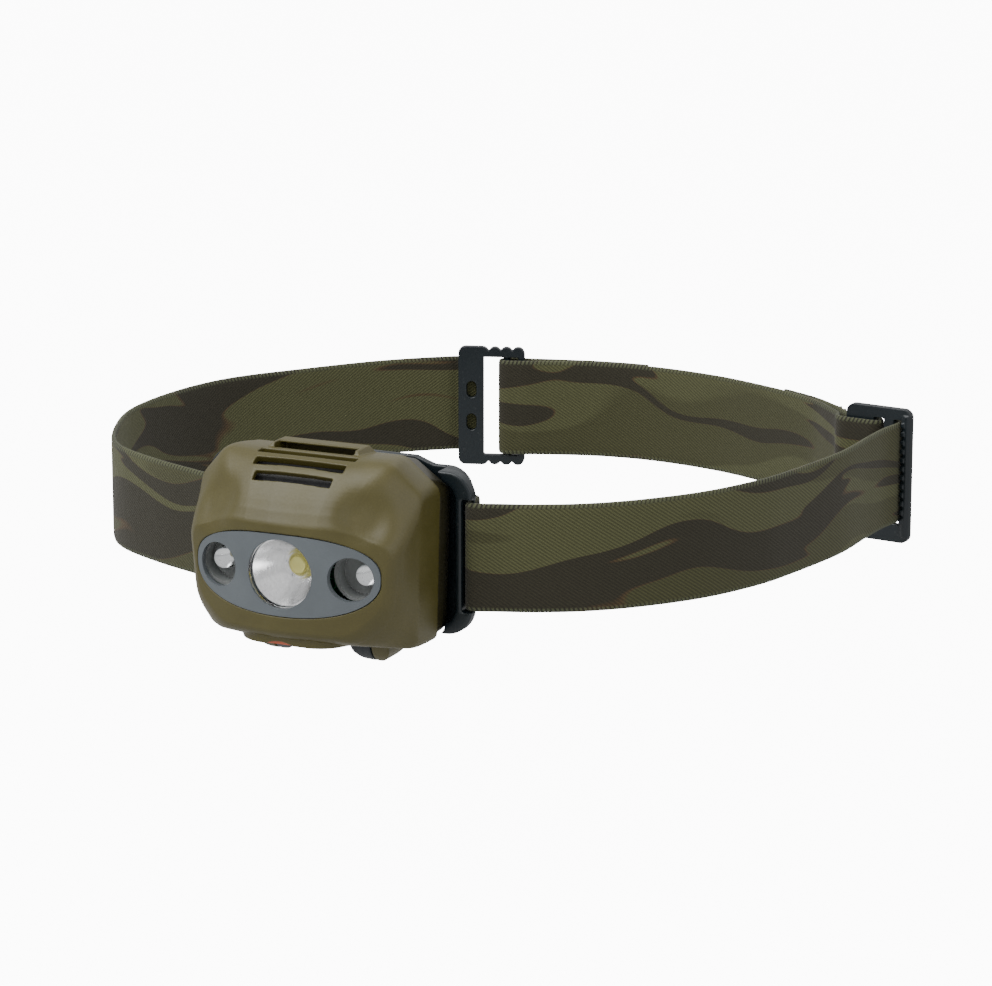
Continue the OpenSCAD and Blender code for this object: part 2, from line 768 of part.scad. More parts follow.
// Adjusters: place, and a point s along and n out of one
ladder_at = [loop_right - 4, loop_depth - 35];
ladder_turn = -7;
slider_at = [-29.1, loop_depth - 10.5];
slider_turn = 18.2;
function on_plate(at, turn, s, n) = at + s * [cos(turn), sin(turn)] + n * [-sin(turn), cos(turn)];
function on_ladder(s, n) = on_plate(ladder_at, ladder_turn, s, n);
function on_slider(s, n) = on_plate(slider_at, slider_turn, s, n);

off_plate = adjuster_t / 2 + strap_fit / 2 + strap_t / 2;
turn_r = bar_r + strap_fit + strap_t / 2;          // webbing's middle round the bar
corner_r = 0.2;                                      // the side wall's rear corner
wrap_r = corner_r + strap_fit + strap_t / 2;
behind_y = plate_back + strap_fit + strap_t / 2;

// Half of the webbing behind the bracket, from the middle to the outer bar
bracket_half = concat([[0, behind_y], [14, behind_y]],
    arc([side_out - corner_r, behind_y - wrap_r], wrap_r, 90, 10, 6),
    arc([bar_x, bar_y], turn_r, 180, 270, 6));
function mirror_x(p) = [for (q = p) [-q[0], q[1]]];

// Slots of the ladder buckle and of the slider, as s ranges
first_slot = [-0.9, 1.8];
second_slot = [4.6, 6.7];
slider_window = [-2.1, 7.2];
slider_bar_s = 4.1;                    // a round bar crosses the window here
slider_bar_r = 0.9;

front_right = [[bar_x + 1.2, bar_y - turn_r], [bar_x + 5.3, 1], [bar_x + 13.8, 4.3], [57, 10], [67, 19],
    [77, 32], [loop_right - 8, 47], [loop_right - 4.5, 60], [loop_right - 0.5, 82], [loop_right, loop_depth - 54],
    on_ladder(5.5, -9), on_ladder(5.7, -3)];
front_left = [[-bar_x - 1.2, bar_y - turn_r], [-bar_x - 6.3, 1.4], [-52, 6.5], [-65, 13.5], [-72.5, 21],
    [-loop_left + 7, 33], [-loop_left + 1.2, 49], [-loop_left, 65], [-loop_left + 2, 82],
    [-79, loop_depth - 58], [-68, loop_depth - 42], [-57, loop_depth - 27.5], [-47.5, loop_depth - 18],
    on_slider(-9.6, off_plate + 0.7)];
ladder_fold = [on_ladder(5.7, 0.4), on_ladder(5.1, adjuster_t / 2 + 0.6), on_ladder(3.8, off_plate + 0.15),
    on_ladder(2.4, off_plate + 0.15)];
front_path = concat(flip(concat(mirror_x(bracket_half), spline(front_left, 5),
    [on_slider(-7, off_plate), on_slider(slider_window[0] - 0.3, off_plate)])),
    [for (i = [1:len(bracket_half) - 1]) bracket_half[i]], spline(concat(front_right, ladder_fold), 5));

module front_strap() webbing_band(front_path);

back_main = [on_slider(9, -off_plate), [-13, loop_depth - 6.4], [-2, loop_depth - 3], [9, loop_depth - 1.6],
    [21, loop_depth - 2.4], [34, loop_depth - 5.2], [45, loop_depth - 9.4], [56, loop_depth - 14.6],
    [65, loop_depth - 20], [71, loop_depth - 25.8], on_ladder(-12.6, 2.4), on_ladder(-11.4, -0.2),
    on_ladder(-9.4, -off_plate + 0.05), on_ladder(-6, -off_plate), on_ladder(-3, -off_plate)];
back_curve = spline(back_main, 5);
layer = strap_t + 0.15;                 // from one layer's middle to the next one's
slider_gap = 2 * off_plate - layer;     // what parts the layers beside the slider
slider_tail_n = 16;                     // points of the curve that the slider's tail runs beside
slider_tail = [for (i = [2:slider_tail_n])
    beside(back_curve, layer + slider_gap * pow(1 - i / slider_tail_n, 2))[i]];
sewn = [34, 46];                        // points of the curve that the sewn end runs beside
function sewn_lift(i) = 0.8 * pow((i - sewn[0]) / (sewn[1] - sewn[0]), 3);
sewn_tail = [for (i = [sewn[1]:-1:sewn[0]]) beside(back_curve, layer + sewn_lift(i))[i]];
fold_s = (first_slot[0] + first_slot[1]) / 2;
ladder_loop = [for (a = [-80:20:80]) on_ladder(fold_s - 1.6 + 1.9 * cos(a), off_plate * sin(a))];
ladder_out = [on_ladder(-3, off_plate), on_ladder(-6.5, off_plate), on_ladder(-8.8, off_plate + 0.6)];
slider_fold = [for (a = [90:15:270]) on_slider(slider_bar_s + off_plate * cos(a), off_plate * sin(a))];
back_path = concat(flip(slider_tail), [on_slider(9, off_plate)], slider_fold, back_curve, ladder_loop,
    spline(concat(ladder_out, sewn_tail), 2));

module back_strap() webbing_band(back_path);

// Two rows of bar tacks through both layers of the back strap
tack_t = 2 * strap_t + 0.8;
tack_at = [-18.2, 14.2];                // of the first row, beside the ladder buckle
tack_step = [-2.2, 2.1];
tack_turn = -46.5;
tack_size = [0.6, 2.6];
tack_pitch = 4.5;
module strap_stitching() {
    color([0.30, 0.29, 0.22]) for (k = [0:1], row = [-2:2])
        let(s = tack_at[0] + k * tack_step[0], n = tack_at[1] + k * tack_step[1])
            translate(concat(on_ladder(s, n), row * tack_pitch))
                rotate([0, 0, ladder_turn + tack_turn])
                    cube([tack_size[0], tack_t, tack_size[1]], center = true);
}

module slot_cut(range, h) translate([range[0], -h / 2]) square([range[1] - range[0], h]);

module rounded_plate(w, h, r) {
    union() {
        square([w - 2 * r, h], center = true);
        square([w, h - 2 * r], center = true);
        for (sx = [-1, 1], sz = [-1, 1])
            translate([sx * (w / 2 - r), sz * (h / 2 - r)]) circle(r, $fn = fnRound);
    }
}

// Stands a front-view outline up at an adjuster's place
module adjuster_plate(at, turn, t) {
    translate([at[0], at[1], 0]) rotate([0, 0, turn]) translate([0, t / 2, 0]) rotate([90, 0, 0])
        linear_extrude(height = t) children();
}

bumps = 3;
bump_pitch = 3.1;
bump_start = -0.7;
bump_in = 1.6;                          // of the bumps' middles from the slider's ends
hole_s = -5.3;
hole_z = 4.4;
hole_r = 1.3;
hole_half_h = 0.9;
module slider() {
    color(slate) adjuster_plate(slider_at, slider_turn, adjuster_t) difference() {
        union() {
            translate([bump_start - 1, -slider_h / 2 + bump_in])
                square([slider_w / 2 - bump_start + 1, slider_h - 2 * bump_in]);
            translate([(bump_start - slider_w / 2) / 2, 0])
                rounded_plate(slider_w / 2 + bump_start, slider_h, 1.8);
            for (k = [0:bumps - 1], sz = [-1, 1])
                translate([bump_start + (k + 0.5) * bump_pitch, sz * (slider_h / 2 - bump_in - 0.1)])
                    circle(bump_pitch / 2 + 0.1, $fn = fnRound);
        }
        slot_cut(slider_window, slot_h);
        for (sz = [-1, 1], dz = [-1, 1])
            translate([hole_s, sz * hole_z + dz * hole_half_h]) circle(hole_r, $fn = fnRound);
        for (sz = [-1, 1])
            translate([hole_s, sz * hole_z]) square([2 * hole_r, 2 * hole_half_h], center = true);
    }
    color(slate) translate(concat(on_slider(slider_bar_s, 0), -slot_h / 2 - 0.5))
        cylinder(h = slot_h + 1, r = slider_bar_r, $fn = fnRound);
}

teeth = 12;
tooth = [1, 1, 1.2];
edge_r = 1.4;                           // the thick outer edge
edge_in = 1.6;
module ladder_buckle() {
    color(slate) union() {
        adjuster_plate(ladder_at, ladder_turn, adjuster_t) difference() {
            translate([0.3, -ladder_drop]) rounded_plate(ladder_w, ladder_h, 2.2);
            slot_cut(first_slot, slot_h);
            slot_cut(second_slot, slot_h);
        }
        translate(concat(on_ladder(ladder_w / 2 - 0.9, 0), -ladder_drop - ladder_h / 2 + edge_in))
            cylinder(h = ladder_h - 2 * edge_in, r = edge_r, $fn = fnRound);
        // teeth along the second slot, on the face that the webbing comes in by
        for (k = [0:teeth - 1]) {
            at = on_ladder(second_slot[1] + 0.5, -adjuster_t / 2 - 0.1);
            translate(concat(at, (k - (teeth - 1) / 2) * slot_h / teeth))
                rotate([0, 0, ladder_turn]) cube(tooth, center = true);
        }
    }
}

front_shell();
bezel();
main_lens();
reflector();
main_led();
led_board();
led_cup_left();
led_cup_right();
side_led_left();
side_led_right();
vent_baffle();
circuit_board();
tact_switch();
switch_plunger();
power_button();
button_seal();
battery_tray();
battery_upper();
battery_front();
battery_lower();
contact_plates();
contact_springs();
board_screws();
battery_cover();
seal_ring();
hinge_pin();
bracket();
front_strap();
back_strap();
strap_stitching();
slider();
ladder_buckle();
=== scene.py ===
import math

import bmesh
import bpy
import numpy as np
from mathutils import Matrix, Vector


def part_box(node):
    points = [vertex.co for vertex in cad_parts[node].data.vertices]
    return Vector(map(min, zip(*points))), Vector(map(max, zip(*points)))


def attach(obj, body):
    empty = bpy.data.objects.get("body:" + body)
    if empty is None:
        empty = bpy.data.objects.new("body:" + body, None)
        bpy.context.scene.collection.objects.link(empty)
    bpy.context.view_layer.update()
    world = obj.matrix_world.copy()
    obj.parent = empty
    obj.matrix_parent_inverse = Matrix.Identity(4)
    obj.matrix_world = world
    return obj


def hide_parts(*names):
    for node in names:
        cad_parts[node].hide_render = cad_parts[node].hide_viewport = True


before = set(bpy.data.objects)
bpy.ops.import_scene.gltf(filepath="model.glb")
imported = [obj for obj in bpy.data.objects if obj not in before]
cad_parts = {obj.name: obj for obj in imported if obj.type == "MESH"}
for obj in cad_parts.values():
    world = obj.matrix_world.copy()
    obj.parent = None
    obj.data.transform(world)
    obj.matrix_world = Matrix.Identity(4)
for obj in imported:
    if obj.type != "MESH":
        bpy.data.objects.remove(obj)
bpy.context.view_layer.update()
mm = 0.001
print("frame loaded")

# Shared node groups

floatSocket, colourSocket = "NodeSocketFloat", "NodeSocketColor"


class Graph:  # adds nodes to one tree and links what it is handed
    def __init__(self, tree):
        self.tree = tree

    def feed(self, socket, value):
        if isinstance(value, bpy.types.NodeSocket):
            self.tree.links.new(value, socket)
        else:
            socket.default_value = value

    def add(self, kind, settings=None, **inputs):
        node = self.tree.nodes.new(kind)
        for key, value in (settings or {}).items():
            setattr(node, key, value)
        for key, value in inputs.items():  # i0, i1 and so on count the sockets, other keys name them
            counted = key[0] == "i" and key[1:].isdigit()
            self.feed(node.inputs[int(key[1:]) if counted else key], value)
        return node

    def calc(self, operation, a, b=0.0):
        return self.add("ShaderNodeMath", {"operation": operation}, i0=a, i1=b).outputs[0]

    def plus(self, a, b):
        return self.calc("ADD", a, b)

    def minus(self, a, b):
        return self.calc("SUBTRACT", a, b)

    def times(self, a, b):
        return self.calc("MULTIPLY", a, b)

    def sine(self, a):
        return self.calc("SINE", a)

    def size(self, a):
        return self.calc("ABSOLUTE", a)

    def vector(self, operation, a, b):
        return self.add("ShaderNodeVectorMath", {"operation": operation}, i0=a, i1=b).outputs[0]

    def objectSpot(self):
        return self.add("ShaderNodeTexCoord").outputs["Object"]

    def toned(self, colour, value, saturation=1.0):
        return self.add("ShaderNodeHueSaturation",
                        Value=value, Saturation=saturation, Color=colour).outputs[0]

    def mix(self, factor, a, b):
        node = self.add("ShaderNodeMix", {"data_type": "RGBA"})
        for socket, value in ((0, factor), (6, a), (7, b)):
            self.feed(node.inputs[socket], (*value[:3], 1) if isinstance(value, tuple) else value)
        return node.outputs[2]

    def noise(self, vector, scale, detail=2.0, rough=0.5, distort=0.0):
        return self.add("ShaderNodeTexNoise", Vector=vector, Scale=scale, Detail=detail,
                        Roughness=rough, Distortion=distort).outputs[0]

    def spread(self, value, low, high, to0=0.0, to1=1.0):
        return self.add("ShaderNodeMapRange", {"clamp": True},
                        i0=value, i1=low, i2=high, i3=to0, i4=to1).outputs[0]


def makeGroup(name, inputs, outputs):
    tree = bpy.data.node_groups.new(name, "ShaderNodeTree")
    for label, kind, value in inputs:
        tree.interface.new_socket(label, in_out="INPUT", socket_type=kind).default_value = value
    for label, kind in outputs:
        tree.interface.new_socket(label, in_out="OUTPUT", socket_type=kind)
    return Graph(tree), tree.nodes.new("NodeGroupInput").outputs, tree.nodes.new("NodeGroupOutput").inputs


# The grain of moulded plastic: noise scales per metre, and how far each one turns the look
grainLook = {"cloudScale": 90.0, "speckScale": 900.0, "speckFrom": 0.62, "speckTo": 0.78,
             "worn": (0.75, 0.74, 0.7), "fineShade": 0.25}


def buildMouldedGrain():
    look = grainLook
    g, given, out = makeGroup(
        "mouldedGrain",
        [("Base", colourSocket, (0.5, 0.5, 0.5, 1)), ("Grain", floatSocket, 2600.0),
         ("Rough", floatSocket, 0.45), ("Wear", floatSocket, 0.1)],
        [("Color", colourSocket), ("Roughness", floatSocket), ("Height", floatSocket)])
    spot = g.objectSpot()
    fine = g.noise(spot, given["Grain"], 3.0, 0.6)
    cloud = g.noise(spot, look["cloudScale"], 3.0, 0.55)
    specks = g.spread(g.noise(spot, look["speckScale"], 4.0, 0.7), look["speckFrom"], look["speckTo"])
    lighter = g.toned(given["Base"], 1.12, 0.96)
    darker = g.toned(given["Base"], 0.9)
    tint = g.mix(g.spread(cloud, 0.3, 0.7), darker, lighter)
    worn = g.mix(g.times(specks, given["Wear"]), tint, look["worn"])
    shade = g.mix(g.spread(fine, 0.3, 0.7, 0.0, look["fineShade"]), worn, darker)
    rough = g.plus(given["Rough"], g.spread(cloud, 0.3, 0.7, -0.04, 0.05))
    g.feed(out["Color"], shade)
    g.feed(out["Roughness"], g.plus(rough, g.spread(fine, 0.3, 0.7, -0.04, 0.04)))
    g.feed(out["Height"], fine)
    return g.tree


# The weave in millimetres: twill ribs, yarns both ways, and the loops along each edge
weaveLook = {
    "pitch": 0.78, "half": 12.5, "leanAlong": 0.62, "leanAcross": 0.92, "yarn": 0.42, "cross": 0.5,
    "ribShare": 0.7, "yarnShare": 0.3, "loop": 1.05, "loopLean": 1.1, "bandIn": 0.75, "bandOut": 1.15,
    "edgeRise": 2.2, "gapShade": 0.8,
}


def buildTwill():
    # UV runs in millimetres: x along the webbing, y across it
    look = weaveLook
    g, given, out = makeGroup(
        "twill",
        [("Along", floatSocket, 0.0), ("Across", floatSocket, 0.0),
         ("Pitch", floatSocket, look["pitch"]), ("Half", floatSocket, look["half"])],
        [("Shade", floatSocket), ("Height", floatSocket), ("Edge", floatSocket)])
    along, across = given["Along"], given["Across"]
    slant = g.plus(g.times(along, look["leanAlong"]), g.times(across, look["leanAcross"]))
    ribs = g.sine(g.calc("DIVIDE", g.times(slant, 2 * math.pi), given["Pitch"]))
    yarn = g.sine(g.times(across, 2 * math.pi / look["yarn"]))
    cross = g.sine(g.times(along, 2 * math.pi / look["cross"]))
    body = g.plus(g.times(ribs, look["ribShare"]), g.times(g.times(yarn, cross), look["yarnShare"]))
    distance = g.minus(given["Half"], g.size(across))
    turns = g.plus(g.times(along, math.pi / look["loop"]), g.times(distance, look["loopLean"]))
    band = g.spread(distance, look["bandIn"], look["bandOut"], 1.0, 0.0)
    edge = g.times(band, g.spread(g.size(g.sine(turns)), 0.35, 0.75))
    # Shade is painted shade and highlight: the ribs' hollows darker, their crests lighter
    g.feed(out["Shade"], g.spread(body, -0.9, 0.9))
    g.feed(out["Height"], g.plus(g.times(body, g.minus(1.0, band)), g.times(edge, look["edgeRise"])))
    # Edge: the loops along each edge above zero, painted shade in the low gaps between them below zero
    g.feed(out["Edge"], g.minus(edge, g.times(g.minus(band, edge), look["gapShade"])))
    return g.tree


mouldedGrain = buildMouldedGrain()
twill = buildTwill()

# Materials


def newMaterial(name):
    material = bpy.data.materials.new(name)
    material.use_nodes = True
    return material, Graph(material.node_tree), material.node_tree.nodes["Principled BSDF"].inputs


def useGroup(g, group, **inputs):
    return g.add("ShaderNodeGroup", {"node_tree": group}, **inputs).outputs


def bumpInto(g, shader, height, strength, depth):
    bump = g.add("ShaderNodeBump", Strength=strength, Distance=depth, Height=height)
    g.feed(shader["Normal"], bump.outputs[0])


def mouldedPlastic(name, colour, rough, grain, wear, bump, depth=0.00003, specular=0.5):
    material, g, shader = newMaterial(name)
    fx = useGroup(g, mouldedGrain, Base=(*colour, 1), Grain=grain, Rough=rough, Wear=wear)
    g.feed(shader["Base Color"], fx["Color"])
    g.feed(shader["Roughness"], fx["Roughness"])
    shader["Specular IOR Level"].default_value = specular
    bumpInto(g, shader, fx["Height"], bump, depth)
    return material


def metal(name, colour, rough, brush=(1, 1, 1), amount=0.1):
    material, g, shader = newMaterial(name)
    streak = g.noise(g.vector("MULTIPLY", g.objectSpot(), brush), 1500.0, 3.0, 0.6)
    g.feed(shader["Base Color"], g.mix(g.spread(streak, 0.3, 0.7), tuple(c * 0.85 for c in colour), colour))
    g.feed(shader["Roughness"], g.spread(streak, 0.3, 0.7, rough - amount / 2, rough + amount / 2))
    shader["Metallic"].default_value = 1
    bumpInto(g, shader, streak, 0.1, 0.00002)
    return material


def clearPlastic(name, tint, rough, ior):
    material, g, shader = newMaterial(name)
    haze = g.noise(g.objectSpot(), 700.0, 3.0, 0.6)
    g.feed(shader["Base Color"], g.mix(haze, tint, tuple(min(1, c * 1.03) for c in tint)))
    g.feed(shader["Roughness"], g.spread(haze, 0.3, 0.7, rough, rough + 0.03))
    shader["Transmission Weight"].default_value = 1
    shader["IOR"].default_value = ior
    return material


# the gap colour is painted shade between the loops along the webbing's edges
webbingLook = {
    "olive": (0.045, 0.045, 0.0145), "paleOlive": (0.064, 0.066, 0.024), "brown": (0.018, 0.0145, 0.0075),
    "outline": (0.058, 0.030, 0.010), "edge": (0.085, 0.094, 0.05), "dust": (0.10, 0.10, 0.06),
    "gap": (0.02, 0.02, 0.014), "split": 0.468, "soft": 0.006, "lineHalf": 0.011, "lineStrength": 0.85,
    "swayScale": (0.02, 0.03, 1.0), "sway": 2.6, "long": 0.0125, "tall": 0.10,
    "leafStart": (3.1, 0.7, 0), "toneStart": (7.3, 2.1, 0), "fibreScale": 5200.0,
}


def camoWebbing():
    look = webbingLook
    material, g, shader = newMaterial("camoWebbing")
    uv = g.add("ShaderNodeUVMap", {"uv_map": "weave"}).outputs[0]
    parts = g.add("ShaderNodeSeparateXYZ", Vector=uv)
    along, across = parts.outputs[0], parts.outputs[1]
    sway = g.noise(g.vector("MULTIPLY", uv, look["swayScale"]), 1.0, 1.0, 0.4)
    rise = g.plus(g.times(across, look["tall"]), g.times(sway, look["sway"]))
    flow = g.add("ShaderNodeCombineXYZ", X=g.times(along, look["long"]), Y=rise, Z=0.0).outputs[0]
    flow = g.vector("ADD", flow, look["leafStart"])
    leaves = g.noise(flow, 1.0, 0.5, 0.3, 1.5)
    tones = g.noise(g.vector("ADD", flow, look["toneStart"]), 0.8, 0.0, 0.3, 0.6)
    fx = useGroup(g, twill, Along=along, Across=across)
    ground = g.mix(g.spread(tones, 0.47, 0.5), look["olive"], look["paleOlive"])
    camo = g.mix(g.spread(leaves, look["split"], look["split"] + look["soft"]), look["brown"], ground)
    offLine = g.size(g.minus(leaves, look["split"] + look["soft"] / 2))
    line = g.spread(offLine, 0.0, look["lineHalf"], look["lineStrength"], 0.0)
    outlined = g.mix(line, camo, look["outline"])
    # painted shade and highlight of the twill: the camo darkened in the ribs' hollows and lightened on their
    # crests
    weaveShaded = g.mix(fx["Shade"], g.toned(outlined, 0.5), g.toned(outlined, 1.42, 0.95))
    fibre = g.noise(g.objectSpot(), look["fibreScale"], 2.0, 0.7)
    dusty = g.mix(g.spread(fibre, 0.3, 0.8, 0.0, 0.22), weaveShaded, look["dust"])
    loops = g.times(g.calc("MAXIMUM", fx["Edge"], 0.0), 0.75)
    # painted shade: the low gaps between the edge loops darkened towards the gap colour
    shadedGaps = g.times(g.calc("MAXIMUM", g.times(fx["Edge"], -1.0), 0.0), 0.9)
    g.feed(shader["Base Color"], g.mix(shadedGaps, g.mix(loops, dusty, look["edge"]), look["gap"]))
    g.feed(shader["Roughness"], g.spread(fibre, 0.3, 0.7, 0.82, 0.95))
    shader["Sheen Weight"].default_value = 0.08
    shader["Sheen Roughness"].default_value = 0.6
    shader["Specular IOR Level"].default_value = 0.25
    bumpInto(g, shader, g.plus(fx["Height"], g.times(fibre, 0.4)), 0.6, 0.00009)
    return material


def circuitGreen():
    material, g, shader = newMaterial("circuitGreen")
    spot = g.objectSpot()
    cells = g.add("ShaderNodeTexVoronoi", {"feature": "DISTANCE_TO_EDGE", "distance": "MANHATTAN"},
                  Vector=spot, Scale=420.0, Randomness=0.6).outputs[0]
    track = g.spread(cells, 0.04, 0.07, 1.0, 0.0)
    g.feed(shader["Base Color"], g.mix(track, (0.012, 0.09, 0.045), (0.05, 0.24, 0.12)))
    g.feed(shader["Roughness"], g.spread(g.noise(spot, 1200.0), 0.3, 0.7, 0.28, 0.42))
    bumpInto(g, shader, track, 0.3, 0.00005)
    return material


# The cells' sleeve, with its middle and its ends measured from the middle in metres
sleeveLook = {
    "band": 0.0125, "bandEnd": 0.0127, "tip": 0.0208, "tipEnd": 0.021,
    "middle": (0.05, 0.055, 0.065), "side": (0.58, 0.40, 0.20), "steel": (0.6, 0.6, 0.58),
    "glint": (0.5, 0.5, 0.5),
}


def cellSleeve():
    look = sleeveLook
    material, g, shader = newMaterial("cellSleeve")
    spot = g.objectSpot()
    x = g.add("ShaderNodeSeparateXYZ", Vector=spot).outputs[0]
    band = g.spread(g.size(x), look["band"], look["bandEnd"])
    tip = g.spread(g.size(x), look["tip"], look["tipEnd"])
    foil = g.noise(spot, 1100.0, 3.0, 0.6)
    body = g.mix(tip, g.mix(band, look["middle"], look["side"]), look["steel"])
    g.feed(shader["Base Color"], g.mix(g.spread(foil, 0.3, 0.8, 0.0, 0.12), body, look["glint"]))
    g.feed(shader["Roughness"], g.spread(foil, 0.3, 0.7, 0.26, 0.38))
    g.feed(shader["Metallic"], tip)
    bumpInto(g, shader, foil, 0.08, 0.00003)
    return material


# Each moulded plastic: colour, roughness, grain, wear and bump
shellPlastic = mouldedPlastic("shellPlastic", (0.064, 0.054, 0.0085), 0.42, 2400.0, 0.02, 0.30)
coverPlastic = mouldedPlastic("coverPlastic", (0.024, 0.021, 0.008), 0.42, 2400.0, 0.02, 0.30)
bezelPlastic = mouldedPlastic("bezelPlastic", (0.092, 0.106, 0.116), 0.40, 2200.0, 0.02, 0.25)
cupPlastic = mouldedPlastic("cupPlastic", (0.27, 0.285, 0.28), 0.6, 2000.0, 0.02, 0.25)
slatePlastic = mouldedPlastic("slatePlastic", (0.0034, 0.0078, 0.0108), 0.36, 2000.0, 0.05, 0.35)
buttonPlastic = mouldedPlastic("buttonPlastic", (0.62, 0.12, 0.045), 0.42, 2400.0, 0.02, 0.25)
darkPlastic = mouldedPlastic("darkPlastic", (0.012, 0.012, 0.013), 0.5, 1800.0, 0.03, 0.3)
sealRubber = mouldedPlastic("sealRubber", (0.012, 0.012, 0.012), 0.72, 1500.0, 0.03, 0.4, specular=0.3)
threadCotton = mouldedPlastic("threadCotton", (0.16, 0.155, 0.10), 0.9, 4200.0, 0.02, 0.8, 0.0001, 0.2)
yellowChip = mouldedPlastic("yellowChip", (0.80, 0.74, 0.22), 0.3, 3000.0, 0.02, 0.1)
paleChip = mouldedPlastic("paleChip", (0.82, 0.80, 0.58), 0.3, 3000.0, 0.02, 0.1)
mirrorBowl = metal("mirrorBowl", (1.0, 1.0, 1.0), 0.20, (1, 1, 0.25), 0.12)
contactSteel = metal("contactSteel", (0.72, 0.70, 0.66), 0.28)
pinSteel = metal("pinSteel", (0.60, 0.60, 0.61), 0.3, (0.1, 1, 1))
clearWindow = clearPlastic("clearWindow", (0.99, 0.995, 1.0), 0.01, 1.12)
clearDome = clearPlastic("clearDome", (0.93, 0.95, 0.96), 0.03, 1.42)
webbingCloth = camoWebbing()
boardGreen = circuitGreen()
cellWrap = cellSleeve()
print("materials made")

# Parts that stay as they are, with their materials

keptParts = {
    "bezel": bezelPlastic, "main_lens": clearWindow, "reflector": mirrorBowl, "main_led": yellowChip,
    "led_board": boardGreen, "led_cup_left": cupPlastic, "led_cup_right": cupPlastic,
    "side_led_left": clearDome, "side_led_right": clearDome, "vent_baffle": darkPlastic,
    "circuit_board": boardGreen, "tact_switch": darkPlastic, "switch_plunger": buttonPlastic,
    "button_seal": sealRubber, "battery_tray": darkPlastic, "battery_upper": cellWrap,
    "battery_front": cellWrap, "battery_lower": cellWrap, "contact_plates": contactSteel,
    "contact_springs": contactSteel, "board_screws": contactSteel, "seal_ring": sealRubber,
    "hinge_pin": pinSteel, "strap_stitching": threadCotton,
}
for node, material in keptParts.items():
    part = bpy.data.objects[node]
    for holder in part.material_slots:
        holder.material = material
    if not part.material_slots:
        part.data.materials.append(material)

# Solids in millimetres


def meshObject(name, verts, faces, material=None):
    mesh = bpy.data.meshes.new(name)
    mesh.from_pydata([tuple(float(c) * mm for c in v) for v in verts], [], faces)
    solid = bmesh.new()
    solid.from_mesh(mesh)
    bmesh.ops.recalc_face_normals(solid, faces=solid.faces)
    solid.to_mesh(mesh)
    solid.free()
    if material:
        mesh.materials.append(material)
    piece = bpy.data.objects.new(name, mesh)
    bpy.context.collection.objects.link(piece)
    return piece


def smoothShaded(mesh):
    mesh.polygons.foreach_set("use_smooth", [True] * len(mesh.polygons))


def ringFaces(rows, count):
    # quads between rows of points that lie one after another
    faces = []
    for base in range(0, (rows - 1) * count, count):
        for k in range(count):
            after = (k + 1) % count
            faces.append((base + k, base + after, base + count + after, base + count + k))
    return faces


def circlePoints(radius, a=0.0, b=0.0, count=72):
    turns = np.linspace(0, 2 * math.pi, count, endpoint=False)
    return [(a + radius * math.cos(t), b + radius * math.sin(t)) for t in turns]


def turned(name, profile, material, about, count=48):
    # spins a profile of (radius, y) round the lamp's direction
    verts = []
    for r, y in profile:
        verts += [(x, y, z) for x, z in circlePoints(r, about[0], about[2], count)]
    faces = ringFaces(len(profile), count)
    faces += [tuple(range(count)), tuple(range((len(profile) - 1) * count, len(profile) * count))[::-1]]
    piece = meshObject(name, verts, faces, material)
    smoothShaded(piece.data)
    return piece


def boxAt(name, low, high, turn=0.0, about=(0, 0, 0)):
    c, s = math.cos(turn), math.sin(turn)
    verts = []
    for x in (low[0], high[0]):
        for y in (low[1], high[1]):
            for z in (low[2], high[2]):
                dy, dz = y - about[1], z - about[2]
                verts.append((x, about[1] + dy * c - dz * s, about[2] + dy * s + dz * c))
    faces = [(0, 1, 3, 2), (4, 6, 7, 5), (0, 4, 5, 1), (2, 3, 7, 6), (0, 2, 6, 4), (1, 5, 7, 3)]
    return meshObject(name, verts, faces)


# An outline of (a, b) swept by c along one axis
sweeps = {
    "x": lambda a, b, c: (c, a, b),
    "y": lambda a, b, c: (a, c, b),
    "z": lambda a, b, c: (a, b, c),
}


def prism(name, axis, outline, start, end):
    n, sweep = len(outline), sweeps[axis]
    verts = [sweep(a, b, start) for a, b in outline] + [sweep(a, b, end) for a, b in outline]
    faces = [(i, (i + 1) % n, n + (i + 1) % n, n + i) for i in range(n)]
    return meshObject(name, verts, faces + [tuple(range(n))[::-1], tuple(range(n, 2 * n))])


def carve(piece, operation, *tools):
    for tool in tools:
        cut = piece.modifiers.new("cut", "BOOLEAN")
        cut.operation = operation
        cut.object = tool
        cut.solver = "EXACT"
    mesh = bpy.data.meshes.new_from_object(piece.evaluated_get(bpy.context.evaluated_depsgraph_get()))
    piece.modifiers.clear()
    piece.data = mesh
    for tool in tools:
        bpy.data.objects.remove(tool)
    return piece


def finishMoulding(piece, node, body, material, voxel, soften, shape=None):
    # rounds the edges as a mould leaves them, by a voxel size in millimetres and rounds of smoothing
    remesh = piece.modifiers.new("remesh", "REMESH")
    remesh.mode = "VOXEL"
    remesh.voxel_size = voxel * mm
    relax = piece.modifiers.new("relax", "SMOOTH")
    relax.factor = 0.5
    relax.iterations = soften
    mesh = bpy.data.meshes.new_from_object(piece.evaluated_get(bpy.context.evaluated_depsgraph_get()))
    piece.modifiers.clear()
    piece.data = mesh
    if shape:
        points = np.empty(len(mesh.vertices) * 3)
        mesh.vertices.foreach_get("co", points)
        mesh.vertices.foreach_set("co", shape(points.reshape(-1, 3) / mm).ravel() * mm)
        mesh.update()
    mesh.materials.clear()
    mesh.materials.append(material)
    mesh.polygons.foreach_set("material_index", [0] * len(mesh.polygons))
    smoothShaded(mesh)
    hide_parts(node)
    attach(piece, body)
    print(piece.name, len(mesh.polygons), "faces")


def softMoulding(name, node, body, material, voxel, soften):
    # the same rounding on a copy of the part's own mesh
    mesh = bpy.data.objects[node].data.copy()
    mesh.materials.clear()
    mesh.materials.append(material)
    piece = bpy.data.objects.new(name, mesh)
    bpy.context.collection.objects.link(piece)
    finishMoulding(piece, node, body, material, voxel, soften)


# Front half of the case

